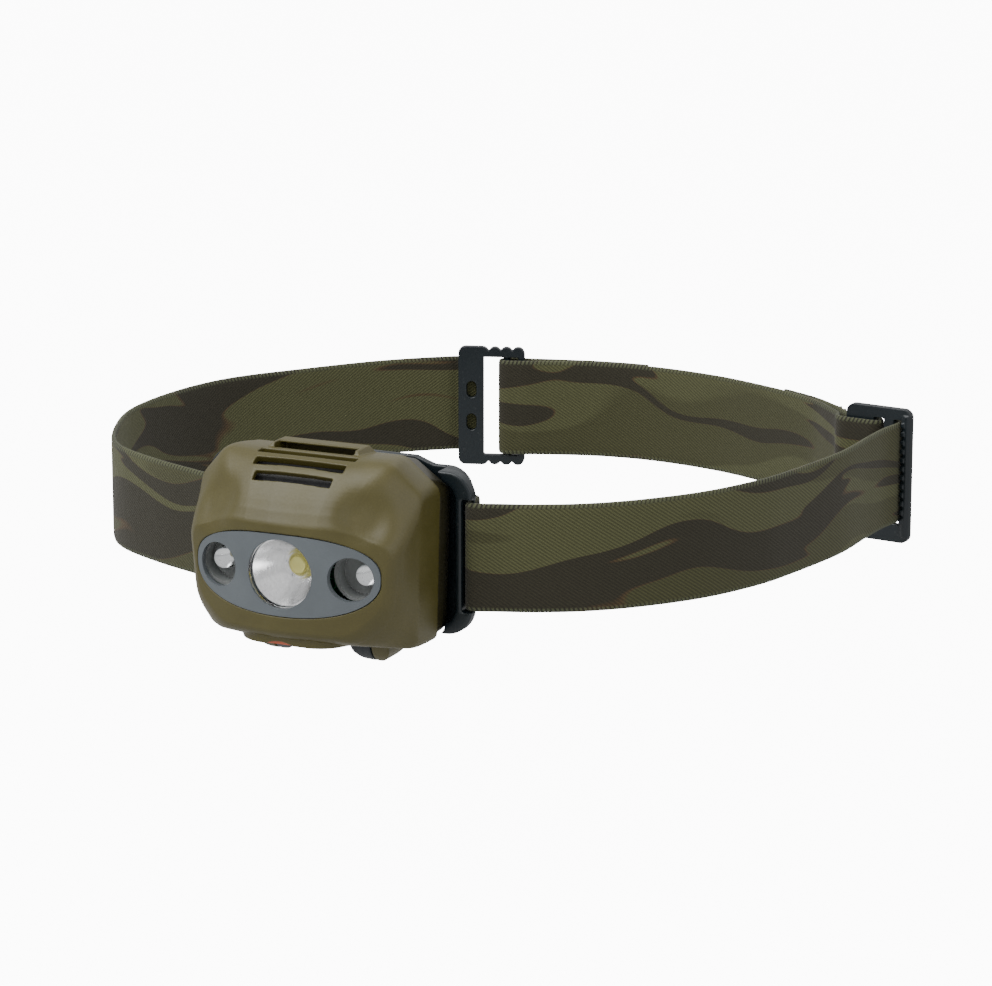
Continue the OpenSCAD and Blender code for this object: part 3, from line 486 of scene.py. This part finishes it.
# Sections from back to front: y, half widths above and below, top, bottom,
# and the corners' legs (top x, top z, low x, low z)
caseSections = [
    (-3.0, 27.8, 26.9, 23.0, 19.2, 8.8, 7.0, 1.0, 1.0),
    (-6.0, 27.9, 27.0, 23.4, 19.2, 8.4, 7.0, 1.0, 1.0),
    (-10.0, 28.0, 27.0, 24.0, 19.2, 7.6, 7.2, 1.1, 1.1),
    (-14.0, 28.1, 27.0, 24.2, 19.1, 7.0, 7.4, 1.4, 1.4),
    (-18.0, 28.1, 27.0, 23.9, 18.8, 6.8, 7.8, 2.0, 1.9),
    (-21.5, 28.0, 26.8, 22.6, 18.3, 7.0, 8.2, 3.0, 2.8),
    (-24.5, 27.8, 26.4, 20.4, 17.6, 7.8, 8.4, 4.2, 3.8),
    (-27.0, 27.5, 25.9, 17.6, 16.8, 8.6, 8.2, 5.4, 4.8),
    (-29.0, 27.0, 25.2, 14.6, 16.0, 8.8, 7.2, 6.6, 5.6),
    (-30.2, 26.4, 24.4, 12.3, 15.2, 8.4, 5.8, 7.2, 6.0),
    (-30.8, 25.7, 23.6, 11.2, 14.4, 7.6, 4.9, 7.4, 6.0),
    (-31.0, 25.1, 23.0, 10.6, 13.7, 7.0, 4.4, 7.2, 5.8),
]
loft = {
    "rows": 34, "closeFrom": -29.0, "close": [-29.5, -30.0, -30.3, -30.55, -30.75, -30.9, -31.0],
    "near": (-1.4, -0.7, 0, 0.7, 1.4), "sharpFrom": -29.2, "rings": (0.8, 0.6, 0.4, 0.2), "ringsZ": -1.0,
    "bendFrom": -12, "bendOver": 14, "roundFrom": -14, "roundOver": 17, "roundMore": 1.4,
    "cornerShare": 0.42,
}
shell = {
    "wall": 1.8, "seam": -5.15, "front": -31, "frontCurve": 60.0, "cornerRound": 1.6, "skin": 0.3,
    "seamPast": 0.01, "voxel": 0.19, "soften": 4,
}
scoop = {
    "centre": (19.2, -26.5, 14.0), "reach": (5.4, 6.4, 6.2), "inward": (-0.5, 0.66, -0.56), "depth": 1.9,
}
# Slots of the vent: y, z, turn in degrees, half length, width
slots = [
    (-24.4, 20.5, 40, 9.8, 2.5), (-20.4, 22.6, 24, 11.4, 2.5),
    (-16.2, 23.9, 8, 12.4, 2.5), (-11.9, 25.6, 0, 10.2, 2.9),
]
slotReach = 4
ventHood = {"half": 10.2, "front": -10.6, "rear": -7.4, "low": 20.5, "roof": 24.62}
eyeShape = {
    "half": 23.2, "up": 9.2, "down": 9.7, "topPower": 2.5, "lowPower": 2.3, "gap": 0.16, "z": -0.5,
    "points": 160, "from": -40, "to": 2,
}
guard = {
    "y": -21.0, "half": 13.6, "deep": 8.0, "low": 17.6, "wall": 1.6, "roof": 15.2, "roofThick": 1.8,
    "faceR": 59.7, "faceY": 29, "stem": 2.3, "stemFrom": -17, "stemTo": -12,
    "wellPast": 2, "dipX": -1.3, "dipR": 8.0, "dipTop": 16.8, "dipFrom": -41,
}
hinge = {
    "y": -5.5, "z": -20.0, "knuckle": 5.5, "x": 7.4, "w": 5.1, "lug": 4.4, "gap": 0.35,
    "bore": 1.28, "boreHalf": 20,
    "ear": 2.95, "earFrom": 3.9, "earTo": 0.2, "belly": 5.2, "pocketWall": 1.2,
    "webCut": 3.9, "webFront": -12.0, "webLow": -18.9, "webHigh": -17.7, "webSeam": -18.1,
}
rib = {"half": 13.0, "front": -14.4, "rearGap": 0.6, "step": 1.6, "taper": 2.2, "root": 22.6, "top": 25.2}
farAway = 60  # a length that passes right through the case


def octagon(halfTop, halfLow, top, low, cxt, czt, cxb, czb, rounding):
    # eight corners, each cut by a small arc, walked counterclockwise from the right
    corners = [(halfLow, -low + czb), (halfTop, top - czt), (halfTop - cxt, top), (-halfTop + cxt, top),
               (-halfTop, top - czt), (-halfLow, -low + czb), (-halfLow + cxb, -low), (halfLow - cxb, -low)]
    share, out = loft["cornerShare"], []
    for i, corner in enumerate(corners):
        here = np.array(corner)
        before = np.array(corners[i - 1]) - here
        after = np.array(corners[(i + 1) % len(corners)]) - here
        lengthIn, lengthOut = np.linalg.norm(before), np.linalg.norm(after)
        reach = min(rounding, share * lengthIn, share * lengthOut)
        a = here + before / lengthIn * reach
        b = here + after / lengthOut * reach
        out += [(1 - t) ** 2 * a + 2 * t * (1 - t) * here + t * t * b for t in (0, 0.2, 0.4, 0.6, 0.8, 1.0)]
        end = here + after / lengthOut * (lengthOut - min(rounding, share * lengthOut))
        out += [b + (end - b) * t for t in (0.2, 0.4, 0.6, 0.8)]
    return np.array(out)


def sectionAt(y):
    ys = [-row[0] for row in caseSections]
    return [float(np.interp(-y, ys, [row[k] for row in caseSections])) for k in range(1, 9)]


def frontSag(x):
    return shell["frontCurve"] - math.sqrt(max(shell["frontCurve"] ** 2 - x * x, 1))


def caseLoft(name, yBack, inset):
    front = shell["front"]
    verts, outline = [], []
    ys = list(np.linspace(yBack, loft["closeFrom"], loft["rows"])) + loft["close"]
    for y in ys:  # averaging neighbours rounds the profile between the sections
        near = [sectionAt(max(min(y + d, yBack), front)) for d in loft["near"]]
        row = np.mean(near if y > loft["sharpFrom"] else near[2:3], axis=0)
        row[:4] -= inset
        rounder = loft["roundMore"] * max(0, (loft["roundFrom"] - y) / loft["roundOver"])
        outline = octagon(*row, shell["cornerRound"] + rounder)
        bend = min(max((loft["bendFrom"] - y) / loft["bendOver"], 0), 1)
        bend = bend * bend * (3 - 2 * bend)
        verts += [(x, max(y, front + inset) + frontSag(x) * bend, z) for x, z in outline]
    n, mid = len(outline), loft["ringsZ"]
    faces = ringFaces(len(ys), n) + [tuple(range(n))[::-1]]
    last = (len(ys) - 1) * n
    for scale in loft["rings"]:  # the front face, following its curve
        start = len(verts)
        for x, z in outline:
            verts.append((x * scale, front + inset + frontSag(x * scale), (z - mid) * scale + mid))
        faces += [(last + k, last + (k + 1) % n, start + (k + 1) % n, start + k) for k in range(n)]
        last = start
    verts.append((0, front + inset, mid))
    faces += [(last + k, last + (k + 1) % n, len(verts) - 1) for k in range(n)]
    return meshObject(name, verts, faces)


def signedPower(value, size, power):
    return math.copysign(size * abs(value) ** (2 / power), value)


def eyePoints():
    e, out = eyeShape, []
    for t in np.linspace(0, 2 * math.pi, e["points"], endpoint=False):
        c, s = math.cos(t), math.sin(t)
        power, tall = (e["topPower"], e["up"]) if s >= 0 else (e["lowPower"], e["down"])
        x = signedPower(c, e["half"] + e["gap"], power)
        out.append((x, e["z"] + signedPower(s, tall + e["gap"], power)))
    return out


def stadiumPoints(half, deep, y):
    out = []
    for side, base in ((1, -90), (-1, 90)):
        for turn in np.radians(range(base, base + 181, 6)):
            out.append((side * (half - deep) + deep * math.cos(turn), y + deep * math.sin(turn)))
    return out


def rod(name, radius, x0, x1):
    # a round bar about the hinge's axis
    return prism(name, "x", circlePoints(radius, hinge["y"], hinge["z"]), x0, x1)


def rodPair(name, radius, x0, x1):
    return [rod(name, radius, x0, x1), rod(name, radius, -x1, -x0)]


def hingeRoom(side, lugX):
    # a closed room round the hinge, kept inside the case's skin
    h = hinge
    edge = h["gap"] + h["pocketWall"]
    low, high = sorted((side * (h["x"] - edge), side * (lugX + h["lug"] + edge)))
    skin = caseLoft("skin", shell["seam"], shell["skin"])
    return carve(rod("room", h["knuckle"] + edge, low, high), "INTERSECT", skin)


def hingeLug(side, lugX):
    h = hinge
    low, high = sorted((side * lugX, side * (lugX + h["lug"])))
    middle = side * (h["x"] + lugX + h["lug"]) / 2
    web = [(h["y"], h["z"] - h["knuckle"]), (h["y"] - h["webCut"], h["z"] - h["webCut"]),
           (h["webFront"], h["webLow"]), (h["webFront"], h["webHigh"]),
           (shell["seam"], h["webSeam"]), (shell["seam"], h["z"])]
    belly = circlePoints(h["belly"], middle, h["z"] - h["knuckle"] + h["belly"])
    lug = carve(rod("lug", h["knuckle"], low, high), "UNION", prism("web", "x", web, low, high))
    return carve(lug, "INTERSECT", prism("belly", "y", belly, -farAway, farAway))


def ventRib():
    r, rear = rib, shell["seam"] - rib["rearGap"]
    high, front, back = r["half"] - r["taper"], r["front"] + r["step"], shell["seam"] - r["step"]
    root = [(-r["half"], r["front"]), (r["half"], r["front"]), (r["half"], rear), (-r["half"], rear)]
    top = [(-high, front), (high, front), (high, back), (-high, back)]
    verts = [(x, y, r["root"]) for x, y in root] + [(x, y, r["top"]) for x, y in top]
    sides = [(i, (i + 1) % 4, 4 + (i + 1) % 4, 4 + i) for i in range(4)]
    return meshObject("rib", verts, [(3, 2, 1, 0), (4, 5, 6, 7)] + sides)


def guardSkirt():
    g = guard
    outline = stadiumPoints(g["half"], g["deep"], g["y"])
    skirt = prism("skirt", "z", outline, -g["low"], -g["roof"] + g["roofThick"])
    face = prism("face", "z", circlePoints(g["faceR"], 0, g["faceY"], 400), -farAway, farAway)
    return carve(skirt, "INTERSECT", face)


def shellCuts():
    e, g, v, reach = eyeShape, guard, ventHood, slotReach
    cuts = []
    for y, z, turn, half, width in slots:
        low, high = (-half, y - width / 2, z - reach), (half, y + width / 2, z + reach)
        cuts.append(boxAt("slot", low, high, math.radians(turn), (0, y, z)))
    # the rear vent opens forward, under the raised rib
    cuts.append(boxAt("hood", (-v["half"], v["front"], v["low"]), (v["half"], v["rear"], v["roof"])))
    cuts.append(prism("window", "y", eyePoints(), e["from"], e["to"]))
    well = stadiumPoints(g["half"] - g["wall"], g["deep"] - g["wall"], g["y"])
    cuts.append(prism("well", "z", well, -g["low"] - g["wellPast"], -g["roof"]))
    dip = circlePoints(g["dipR"], g["dipX"], -g["dipTop"] - g["dipR"])
    cuts.append(prism("dip", "y", dip, g["dipFrom"], g["y"]))
    cuts.append(prism("stem", "z", circlePoints(g["stem"], 0, g["y"]), g["stemFrom"], g["stemTo"]))
    return cuts


def scoopCorners(points):
    # the shallow scoop in each front upper corner
    moved = points.copy()
    for side in (-1, 1):
        away = (points - np.array(scoop["centre"]) * [side, 1, 1]) / np.array(scoop["reach"])
        fall = np.exp(-((away ** 2).sum(1)) ** 1.5)
        moved += fall[:, None] * scoop["depth"] * np.array(scoop["inward"]) * [side, 1, 1]
    return moved


def makeShell():
    h, seam = hinge, shell["seam"]
    lugX = h["x"] + h["w"] + h["gap"]
    piece = caseLoft("shellMoulding", seam, 0.0)
    carve(piece, "DIFFERENCE", caseLoft("hollow", seam + shell["seamPast"], shell["wall"]))
    rooms = [hingeRoom(side, lugX) for side in (-1, 1)]
    lugs = [hingeLug(side, lugX) for side in (-1, 1)]
    carve(piece, "UNION", ventRib(), guardSkirt(), *rooms, *lugs)
    carve(piece, "DIFFERENCE", *shellCuts())
    cuts = rodPair("pocket", h["knuckle"] + h["gap"], h["x"] - h["gap"], lugX)
    cuts += rodPair("earRoom", h["ear"] + h["gap"], h["x"] - h["earFrom"], h["x"] - h["earTo"])
    carve(piece, "DIFFERENCE", *cuts, rod("bore", h["bore"], -h["boreHalf"], h["boreHalf"]))
    finishMoulding(piece, "front_shell", "lamp_housing", shellPlastic,
                   shell["voxel"], shell["soften"], scoopCorners)


# Small mirror cups and chips inside the domes
lightCup = {
    "rim": 1.9, "floor": 0.7, "deep": 1.1, "lip": 0.15, "inner": 0.25, "outer": 0.2, "back": 0.1,
    "chip": 0.42, "chipTop": 0.8, "chipFrom": 0.26, "chipEdge": 0.6, "chipTo": 0.7, "chipSides": 24,
}


def makeLightCups():
    c = lightCup
    for side in ("left", "right"):
        low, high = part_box("side_led_" + side)
        centre = ((low[0] + high[0]) / 2 / mm, 0, (low[2] + high[2]) / 2 / mm)
        rear = high[1] / mm
        wall = [(c["floor"], rear - c["inner"]), (c["rim"], rear - c["inner"] - c["deep"]),
                (c["rim"] + c["lip"], rear - c["outer"] - c["deep"]),
                (c["rim"] + c["lip"], rear - c["back"]), (c["floor"], rear - c["back"])]
        chip = [(c["chip"], rear - c["chipFrom"]), (c["chip"], rear - c["chipEdge"]),
                (c["chip"] * c["chipTop"], rear - c["chipTo"])]
        for piece in (turned("lightCup" + side.title(), wall, mirrorBowl, centre),
                      turned("lightChip" + side.title(), chip, paleChip, centre, c["chipSides"])):
            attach(piece, "lamp_housing")


makeLightCups()
makeShell()
softMoulding("coverMoulding", "battery_cover", "cover", coverPlastic, voxel=0.26, soften=5)
softMoulding("bracketMoulding", "bracket", "headband", slatePlastic, voxel=0.24, soften=10)
softMoulding("sliderMoulding", "slider", "headband", slatePlastic, voxel=0.16, soften=8)
softMoulding("buckleMoulding", "ladder_buckle", "headband", slatePlastic, voxel=0.16, soften=8)
softMoulding("buttonMoulding", "power_button", "button", buttonPlastic, voxel=0.14, soften=6)
print("mouldings made")

# Webbing

# Route of the webbing in plan, in millimetres
band = {
    "width": 25.0, "thick": 1.3, "fill": 0.96, "step": 0.525, "scallop": 0.14,
    "loopRight": 92, "loopLeft": 86, "loopDepth": 154, "closest": 0.02, "backPattern": 700.0,
}
bracketSide = {
    "rear": 6.85, "outer": 31.1, "barX": 33.2, "barY": 0.7, "turn": 1.35, "wrap": 1.05, "flat": 14,
}
adjusters = {
    "ladder": (88, 119, -7), "slider": (-29.1, 143.5, 18.2),
    "off": 1.75, "barS": 4.1, "windowS": -2.1, "foldS": 0.45, "foldBack": 1.6, "foldReach": 1.9,
}
# The free end beside the slider and the sewn end beside the ladder buckle,
# as counts of points along the back
backEnds = {
    "layerGap": 0.15, "tail": (2, 17), "tailEase": 16, "sewn": (34, 46), "sewnEase": 12, "sewnLift": 0.8,
}
# Across the webbing: how far out each point lies, and how thick the webbing is there
crossSection = [
    (-1.0, 0.35), (-0.985, 0.72), (-0.94, 0.95), (-0.8, 1.0), (-0.55, 1.0), (-0.28, 1.0), (0.0, 1.0),
    (0.28, 1.0), (0.55, 1.0), (0.8, 1.0), (0.94, 0.95), (0.985, 0.72), (1.0, 0.35),
]
scallopFrom = 0.9


def onPlate(which, s, n):
    # s runs along the adjuster's plate and n away from it
    x, y, turn = adjusters[which]
    a = math.radians(turn)
    return np.array([x + s * math.cos(a) - n * math.sin(a), y + s * math.sin(a) + n * math.cos(a)])


def splineThrough(points, count):
    p = [np.array(q, dtype=float) for q in points]
    out = []
    for i in range(len(p) - 1):
        a, b, c, d = p[max(i - 1, 0)], p[i], p[i + 1], p[min(i + 2, len(p) - 1)]
        for t in (k / count for k in range(count)):
            square = (2 * a - 5 * b + 4 * c - d) * t * t
            out.append(0.5 * (2 * b + (c - a) * t + square + (3 * b - a - 3 * c + d) * t ** 3))
    return out + [p[-1]]


def arcRound(x, y, radius, start, stop, count):
    turns = np.radians(np.linspace(start, stop, count + 1))
    return [np.array([x + radius * math.cos(a), y + radius * math.sin(a)]) for a in turns]


def beside(points, offset):
    out = []
    for i, p in enumerate(points):
        along = points[min(i + 1, len(points) - 1)] - points[max(i - 1, 0)]
        along = along / np.linalg.norm(along)
        out.append(p + offset * np.array([-along[1], along[0]]))
    return out


def frontRoute():
    b, off = bracketSide, adjusters["off"]
    right, left, depth = band["loopRight"], band["loopLeft"], band["loopDepth"]
    half = [np.array([0, b["rear"]]), np.array([b["flat"], b["rear"]])]
    half += arcRound(b["outer"] - 0.2, b["rear"] - b["wrap"], b["wrap"], 90, 10, 6)
    half += arcRound(b["barX"], b["barY"], b["turn"], 180, 270, 6)
    toRight = [
        [b["barX"] + 1.2, b["barY"] - b["turn"]], [38.5, 1], [47, 4.3], [57, 10], [67, 19], [77, 32],
        [right - 8, 47], [right - 4.5, 60], [right - 0.5, 82], [right, depth - 54],
        onPlate("ladder", 5.5, -9), onPlate("ladder", 5.7, -3), onPlate("ladder", 5.7, 0.4),
        onPlate("ladder", 5.1, 1.6), onPlate("ladder", 3.8, off + 0.15), onPlate("ladder", 2.4, off + 0.15),
    ]
    toLeft = [
        [-b["barX"] - 1.2, b["barY"] - b["turn"]], [-39.5, 1.4], [-52, 6.5], [-65, 13.5], [-72.5, 21],
        [-left + 7, 33], [-left + 1.2, 49], [-left, 65], [-left + 2, 82], [-79, depth - 58],
        [-68, depth - 42], [-57, depth - 27.5], [-47.5, depth - 18], onPlate("slider", -9.6, off + 0.7),
    ]
    back = [p * [-1, 1] for p in half] + splineThrough(toLeft, 5)
    back += [onPlate("slider", -7, off), onPlate("slider", adjusters["windowS"] - 0.3, off)]
    return back[::-1] + half[1:] + splineThrough(toRight, 5)


def backRoute():
    a, ends = adjusters, backEnds
    off, depth, layer = a["off"], band["loopDepth"], band["thick"] + ends["layerGap"]
    main = splineThrough([
        onPlate("slider", 9, -off), [-13, depth - 6.4], [-2, depth - 3], [9, depth - 1.6],
        [21, depth - 2.4], [34, depth - 5.2], [45, depth - 9.4], [56, depth - 14.6],
        [65, depth - 20], [71, depth - 25.8],
        onPlate("ladder", -12.6, 2.4), onPlate("ladder", -11.4, -0.2), onPlate("ladder", -9.4, -off + 0.05),
        onPlate("ladder", -6, -off), onPlate("ladder", -3, -off),
    ], 5)
    tail = []
    for i in range(*ends["tail"]):  # the free end lies down on the layer below it
        tail.append(beside(main, layer + (2 * off - layer) * (1 - i / ends["tailEase"]) ** 2)[i])
    first, last = ends["sewn"]
    sewn = []
    for i in range(last, first - 1, -1):
        sewn.append(beside(main, layer + ends["sewnLift"] * ((i - first) / ends["sewnEase"]) ** 3)[i])
    loop = []
    for turn in np.radians(range(-80, 81, 20)):
        s = a["foldS"] - a["foldBack"] + a["foldReach"] * math.cos(turn)
        loop.append(onPlate("ladder", s, off * math.sin(turn)))
    fold = []
    for turn in np.radians(range(90, 271, 15)):
        fold.append(onPlate("slider", a["barS"] + off * math.cos(turn), off * math.sin(turn)))
    out = [onPlate("ladder", -3, off), onPlate("ladder", -6.5, off), onPlate("ladder", -8.8, off + 0.6)]
    return tail[::-1] + [onPlate("slider", 9, off)] + fold + main + loop + splineThrough(out + sewn, 2)


def evenly(points, step):
    p = [np.array(points[0])]
    for q in points[1:]:
        if np.linalg.norm(q - p[-1]) > band["closest"]:
            p.append(np.array(q))
    p = np.array(p)
    run = np.concatenate([[0], np.cumsum(np.linalg.norm(np.diff(p, axis=0), axis=1))])
    at = np.linspace(0, run[-1], int(run[-1] / step) + 1)
    even = np.stack([np.interp(at, run, p[:, k]) for k in (0, 1)], axis=1)
    for _ in range(3):
        even[1:-1] = 0.25 * even[:-2] + 0.5 * even[1:-1] + 0.25 * even[2:]
    return even, at


def weaveBand(name, node, route, start):
    path, run = evenly(route, band["step"])
    along = np.gradient(path, axis=0)
    along /= np.linalg.norm(along, axis=1)[:, None]
    normal = np.stack([-along[:, 1], along[:, 0]], axis=1)
    halfWidth, halfThick = band["width"] / 2, band["thick"] / 2 * band["fill"]
    ring = crossSection + [(a, -t) for a, t in crossSection[::-1]]
    verts, uvs = [], []
    for i, (p, n) in enumerate(zip(path, normal)):
        grow = band["scallop"] * (1 if i % 2 else -1)
        for a, t in ring:
            z = a * halfWidth + (math.copysign(grow, a) if abs(a) > scallopFrom else 0)
            verts.append((*(p + n * t * halfThick) * mm, z * mm))
            uvs.append((start + run[i], a * halfWidth))
    size = len(ring)
    faces = ringFaces(len(path), size)
    faces += [tuple(range(size))[::-1], tuple(range((len(path) - 1) * size, len(path) * size))]
    mesh = bpy.data.meshes.new(name)
    mesh.from_pydata(verts, [], faces)
    layer = mesh.uv_layers.new(name="weave")
    for loop in mesh.loops:
        layer.data[loop.index].uv = uvs[loop.vertex_index]
    smoothShaded(mesh)
    mesh.materials.append(webbingCloth)
    piece = bpy.data.objects.new(name, mesh)
    bpy.context.collection.objects.link(piece)
    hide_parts(node)
    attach(piece, "headband")
    print(name, len(faces), "faces")


weaveBand("frontWebbing", "front_strap", frontRoute(), 0.0)
weaveBand("backWebbing", "back_strap", backRoute(), band["backPattern"])
print("webbing made")

# Floor, light and camera

studio = {
    "floor": -0.075, "floorSize": 4.0, "floorTone": 0.5, "floorRough": 0.95, "glow": 11.0, "world": 0.72,
    "lights": [
        {"name": "key", "at": (-0.35, -0.45, 0.85), "target": (0, 0.02, 0), "size": 1.0, "power": 14.0},
        {"name": "fill", "at": (0.75, -0.25, 0.35), "target": (0, 0.03, 0), "size": 0.6, "power": 1.4},
        {"name": "rim", "at": (0.1, 0.55, 0.7), "target": (0, 0.06, 0), "size": 0.6, "power": 1.0},
    ],
    "camera": {
        "at": (0.4104, -0.7939, 0.2328), "toward": (-0.41106, 0.87926, -0.24069), "lens": 145.2, "sensor": 36,
    },
}


def facing(direction):
    return Vector(direction).to_track_quat("-Z", "Y").to_euler()


def makeFloor():
    mesh = bpy.data.meshes.new("floor")
    size, drop, tone = studio["floorSize"], studio["floor"], studio["floorTone"]
    corners = [(-size, -size, drop), (size, -size, drop), (size, size, drop), (-size, size, drop)]
    mesh.from_pydata(corners, [], [(0, 1, 2, 3)])
    floor = bpy.data.objects.new("floor", mesh)
    bpy.context.collection.objects.link(floor)
    material, g, shader = newMaterial("floorPaper")
    paper = g.mix(g.noise(g.objectSpot(), 40.0), (tone,) * 3, (tone * 1.01,) * 3)
    g.feed(shader["Base Color"], paper)
    shader["Roughness"].default_value = studio["floorRough"]
    seen = g.add("ShaderNodeLightPath").outputs["Is Camera Ray"]
    g.feed(shader["Emission Color"], g.mix(seen, (0, 0, 0), (1, 1, 1)))
    shader["Emission Strength"].default_value = studio["glow"]
    mesh.materials.append(material)


def addLight(settings):
    light = bpy.data.lights.new(settings["name"], "AREA")
    light.shape = "RECTANGLE"
    light.size = light.size_y = settings["size"]
    light.energy = settings["power"]
    lamp = bpy.data.objects.new(settings["name"], light)
    bpy.context.collection.objects.link(lamp)
    lamp.location = settings["at"]
    lamp.rotation_euler = facing(Vector(settings["target"]) - Vector(settings["at"]))


def addCamera(settings):
    camera = bpy.data.cameras.new("camera")
    camera.lens = settings["lens"]
    camera.sensor_width = settings["sensor"]
    viewer = bpy.data.objects.new("camera", camera)
    bpy.context.collection.objects.link(viewer)
    viewer.location = settings["at"]
    viewer.rotation_euler = facing(settings["toward"])
    bpy.context.scene.camera = viewer


makeFloor()
world = bpy.data.worlds.new("studio")
bpy.context.scene.world = world
world.use_nodes = True
world.node_tree.nodes["Background"].inputs[0].default_value = (1, 1, 1, 1)
world.node_tree.nodes["Background"].inputs[1].default_value = studio["world"]
for light in studio["lights"]:
    addLight(light)
addCamera(studio["camera"])
print("studio made")
